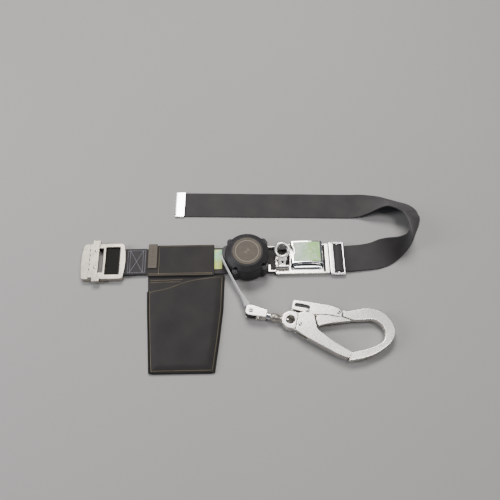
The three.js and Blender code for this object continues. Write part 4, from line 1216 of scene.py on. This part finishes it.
def hook_lever():
    cheek = corner_outline([(11.5, -15.6, 3), (11.5, 14.2, 3), (20, 19, 2), (36.6, 18, 3), (40, 9),
                            (46.6, -5.8, 4), (76, -20.4, 10), (107.6, -30.4, 2), (105.6, -42, 3),
                            (86, -39.6, 8), (27, -22.4, 8)])
    spine = corner_outline([(34, -24.2), (64, -33), (86, -39.4, 6), (104, -41.6), (104, -39.4),
                            (86, -37), (64, -30.6), (34, -22.2)])
    lever = carve(
        fuse(prism(cheek, LEVER_IN, LEVER_OUT, HOOK_FRAME),
             prism(spine, -LEVER_IN - 0.2, LEVER_IN + 0.2, HOOK_FRAME),
             prism(cheek, -LEVER_OUT, -LEVER_IN, HOOK_FRAME)),
        disc(*LEVER_PIVOT, 2.4, -20, 20, HOOK_FRAME))
    return soften(lever, 0.36, 5)


def add_rivet(name, spot, shank, reach, body, cad_node):
    head = shank + 1.2
    half = [(shank, 0), (shank, reach + 0.35), (head, reach + 0.4), (head, reach + 0.6),
            (head - 0.25, reach + 0.85), (head - 0.8, reach + 1.15), (head * 0.35, reach + 1.3),
            (0, reach + 1.3)]
    profile = [(r, -z) for r, z in reversed(half)] + half[1:]
    place = HOOK_FRAME @ Matrix.Translation((*spot, 0))
    dress(lathe(name, profile, 56, place), name, "rivet_steel", "bright_steel", body, cad_node,
          smooth=40)


def wire(name, line, radius, material, body, cad_node, place):
    """A bent wire through points, with a round section."""
    rings = []
    for i, at in enumerate(line):
        run = (line[min(i + 1, len(line) - 1)] - line[max(i - 1, 0)]).normalized()
        side = run.orthogonal().normalized() if i == 0 else (side - run * side.dot(run)).normalized()
        other = run.cross(side)
        rings.append([at + side * radius * math.cos(a) + other * radius * math.sin(a)
                      for a in (math.pi / 5 * k for k in range(10))])
    return dress(loft(name, rings, place), name, material, "spring_steel", body, cad_node,
                 smooth=180)


def coil_line(radius, low, high, turns, steps=24):
    count = int(turns * steps)
    return [Vector((radius * math.cos(2 * math.pi * i / steps), radius * math.sin(2 * math.pi * i / steps),
                    low + (high - low) * i / count)) for i in range(count + 1)]


def add_hook():
    dress(hook_body(), "hook_body_forged", "satin_steel", "satin_steel", "hook", "hook_body", smooth=180)
    dress(hook_gate(), "hook_gate_pressed", "satin_steel", "satin_steel", "gate", "hook_gate", smooth=180)
    dress(hook_lever(), "hook_lever_pressed", "satin_steel", "satin_steel", "lever", "hook_lever",
          smooth=180)
    # Painted shade: a thin dark sheet under the gate's slot makes the slot read dark.
    slot_shade = corner_outline([(-1, 22, 1), (-1, 33, 1), (15, 34.4, 1), (29.6, 33.6, 1), (30, 24, 1)])
    slot_shade = bevelled(prism(slot_shade, HOOK_CORE + 0.06, GATE_IN - 0.06, HOOK_FRAME), 0.05, 1)
    dress(slot_shade, "gate_slot_shade_leaf", "black_rubber", "spring_steel", "hook")
    add_rivet("gate_rivet_domed", GATE_PIVOT, 2, GATE_OUT, "hook", "gate_rivet")
    add_rivet("lever_rivet_domed", LEVER_PIVOT, 2, LEVER_OUT, "hook", "lever_rivet")
    add_rivet("nose_pin_domed", NOSE_PIN, 1.8, GATE_OUT, "gate", "nose_pin")
    gate_place = HOOK_FRAME @ Matrix.Translation((*GATE_PIVOT, 0))
    wire("gate_spring_wire", coil_line(3.9, 1.5, 3.7, 1.8), 0.55, "spring_steel", "hook",
         "gate_spring", gate_place)
    lever_place = (HOOK_FRAME @ Matrix.Translation((80, -31.1, 0))
                   @ Matrix.Rotation(math.radians(15), 4, "Z") @ Matrix.Rotation(math.pi / 2, 4, "X"))
    spring = wire("lever_spring_wire", coil_line(2.1, -3.2, 2.7, 4), 0.4, "spring_steel", "hook",
                  "lever_spring", lever_place)
    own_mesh(spring)


# ---- buckle, connector and slider ---------------------------------------------------------

def add_buckle():
    rounded_copy("buckle_frame", "buckle_frame_cast", "cream_metal", "cream_metal", "frame", 0.42, 7)
    rounded_copy("clamp_bar", "clamp_bar_cast", "cream_metal", "cream_metal", "clamp", 0.32, 4)
    # Painted shade: a thin black strip under the clamp bar's left edge darkens its notches.
    strip = bevelled(block(-276.3, -273, -19, 25, 12.04, 12.26), 0.05, 1)
    dress(strip, "clamp_notch_shade_strip", "black_rubber", "cream_metal", "clamp")
    # Painted shade: black sheets on the clamp window's walls darken the slot.
    window_shade = carve(block(-273.9, -252.9, -19.9, 25.9, 0.3, 11.5), block(-273.3, -253.5, -19.3, 25.3, -1, 13))
    dress(window_shade, "clamp_window_shade_lining", "black_rubber", "cream_metal", "frame")
    for number, y in ((1, -11.5), (2, 19.6)):
        head = lathe("head", [(0, 13.95), (2.35, 13.95), (2.35, 15), (2.1, 15.3), (1.5, 15.35),
                              (1.3, 14.9), (0.9, 14.9), (0.7, 15.3), (0, 15.4)], 40,
                     Matrix.Translation((-265.4, y, 0)))
        dress(head, f"clamp_rivet_domed_{number}", "rivet_steel", "bright_steel", "clamp",
              f"clamp_rivet_{number}", smooth=40)


def add_loop_shade_strip():
    """A thin dark strip over the belt's loop where it shows in the buckle's strap window: painted shade that
    darkens the belt there.
    """
    shown = anchor_loop()[4:12]
    line = through([(x, BELT_Y, z) for x, z in shown], 4)
    across = Vector((0, 1, 0))
    stations = []
    for i, at in enumerate(line):
        run = (line[min(i + 1, len(line) - 1)] - line[max(i - 1, 0)]).normalized()
        up = run.cross(across)
        if up.z < 0:
            up = -up
        stations.append((at + up * (BELT_THICK / 2 + 0.35), across, up))
    # Painted shade: a thin dark sheet on the belt's loop inside the strap window.
    cover = strap_mesh("cover", stations, BELT_WIDTH - 0.6, 0.4, 24, 0.05)
    dress(cover, "loop_shade_strip", "binding", "dark_webbing", "frame", smooth=60)


def add_connector():
    for cad_node, name, material, slot, voxel, passes in (
            ("connector_base", "connector_base_pressed", "satin_steel", "satin_steel", 0.34, 4),
            ("connector_wrap", "connector_wrap_rolled", "bright_steel", "bright_steel", 0.3, 4),
            ("connector_label", "connector_label_film", "connector_film", "green_label", 0.2, 3)):
        rounded_copy(cad_node, name, material, slot, "frame", voxel, passes)
    pad = carve(block(54.4, 76, 18.8, 28.2, 8.05, 9.5), block(49, 60.1, 19.8, 30, 5, 9.08))
    dress(bevelled(pad, 0.15, 2), "dee_rest_pad", "black_rubber", "satin_steel", "frame")
    pin = lathe("pin", [(0, 49), (1.7, 49), (2, 49.3), (2, 73.7), (1.7, 74), (0, 74)], 40,
                Matrix.Translation((0, DEE_HINGE.y, DEE_HINGE.z)) @ Matrix.Rotation(math.pi / 2, 4, "Y"))
    dress(pin, "dee_pin_turned", "spring_steel", "spring_steel", "frame", "dee_pin", smooth=40)
    add_dee()


def add_dee():
    section = [(3.4 * math.copysign(abs(math.cos(a)) ** 0.8, math.cos(a)),
                2.6 * math.copysign(abs(math.sin(a)) ** 0.8, math.sin(a)))
               for a in (2 * math.pi * k / 20 for k in range(20))]
    eye = torus("eye", 11.6, section, 96, DEE_FRAME @ Matrix.Translation((0, 29, 0)))
    neck = carve(
        prism(corner_outline([(-8.5, 17, 3), (-5, 3), (5, 3), (8.5, 17, 3)]), -2.4, 2.4, DEE_FRAME),
        disc(0, 8.2, 2.2, -5, 5, DEE_FRAME),
        disc(0, 29, 12, -5, 5, DEE_FRAME),
        rod(3, (-20, 0, 0), (20, 0, 0), DEE_FRAME))
    barrel = carve(rod(4.2, (-6.9, 0, 0), (6.9, 0, 0), DEE_FRAME),
                   rod(2.4, (-20, 0, 0), (20, 0, 0), DEE_FRAME))
    ring = soften(fuse(neck, eye, barrel), 0.3, 4)
    dress(ring, "dee_ring_forged", "satin_steel", "bright_steel", "dee", "dee_ring", smooth=180)


def add_slider():
    rounded_copy("belt_slider", "belt_slider_cast", "bright_steel", "cream_metal", "frame", 0.34, 9)


# ---- the CAD pieces inside the covers -----------------------------------------------------

HIDDEN = {
    "lock_ring": "spring_steel", "drum": "housing", "drum_shaft": "spring_steel",
    "lifeline_roll": "white_webbing", "rear_bush": "brass", "spring_case": "housing",
    "power_spring": "spring_steel", "front_bush": "brass", "pawl_a": "spring_steel",
    "pawl_pin_a": "spring_steel", "pawl_b": "spring_steel", "pawl_pin_b": "spring_steel",
    "guide_pin": "spring_steel", "guide_roller": "bright_steel",
}


def finish_inside():
    for name, material in HIDDEN.items():
        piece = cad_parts[name]
        if piece.data.materials:
            for i in range(len(piece.data.materials)):
                piece.data.materials[i] = MATERIALS[material]
        else:
            piece.data.materials.append(MATERIALS[material])


def add_floor():
    half = 4.0
    bpy.ops.mesh.primitive_plane_add(size=2 * half, location=(0, 0, -0.0002))
    floor = bpy.context.object
    floor.name = "studio_floor"
    floor.data.materials.append(floor_material())


add_camera()
add_floor()
add_studio()
add_belt()
add_pouch()
add_reel()
add_lifeline()
add_link()
add_hook()
add_buckle()
add_loop_shade_strip()
add_connector()
add_slider()
finish_inside()
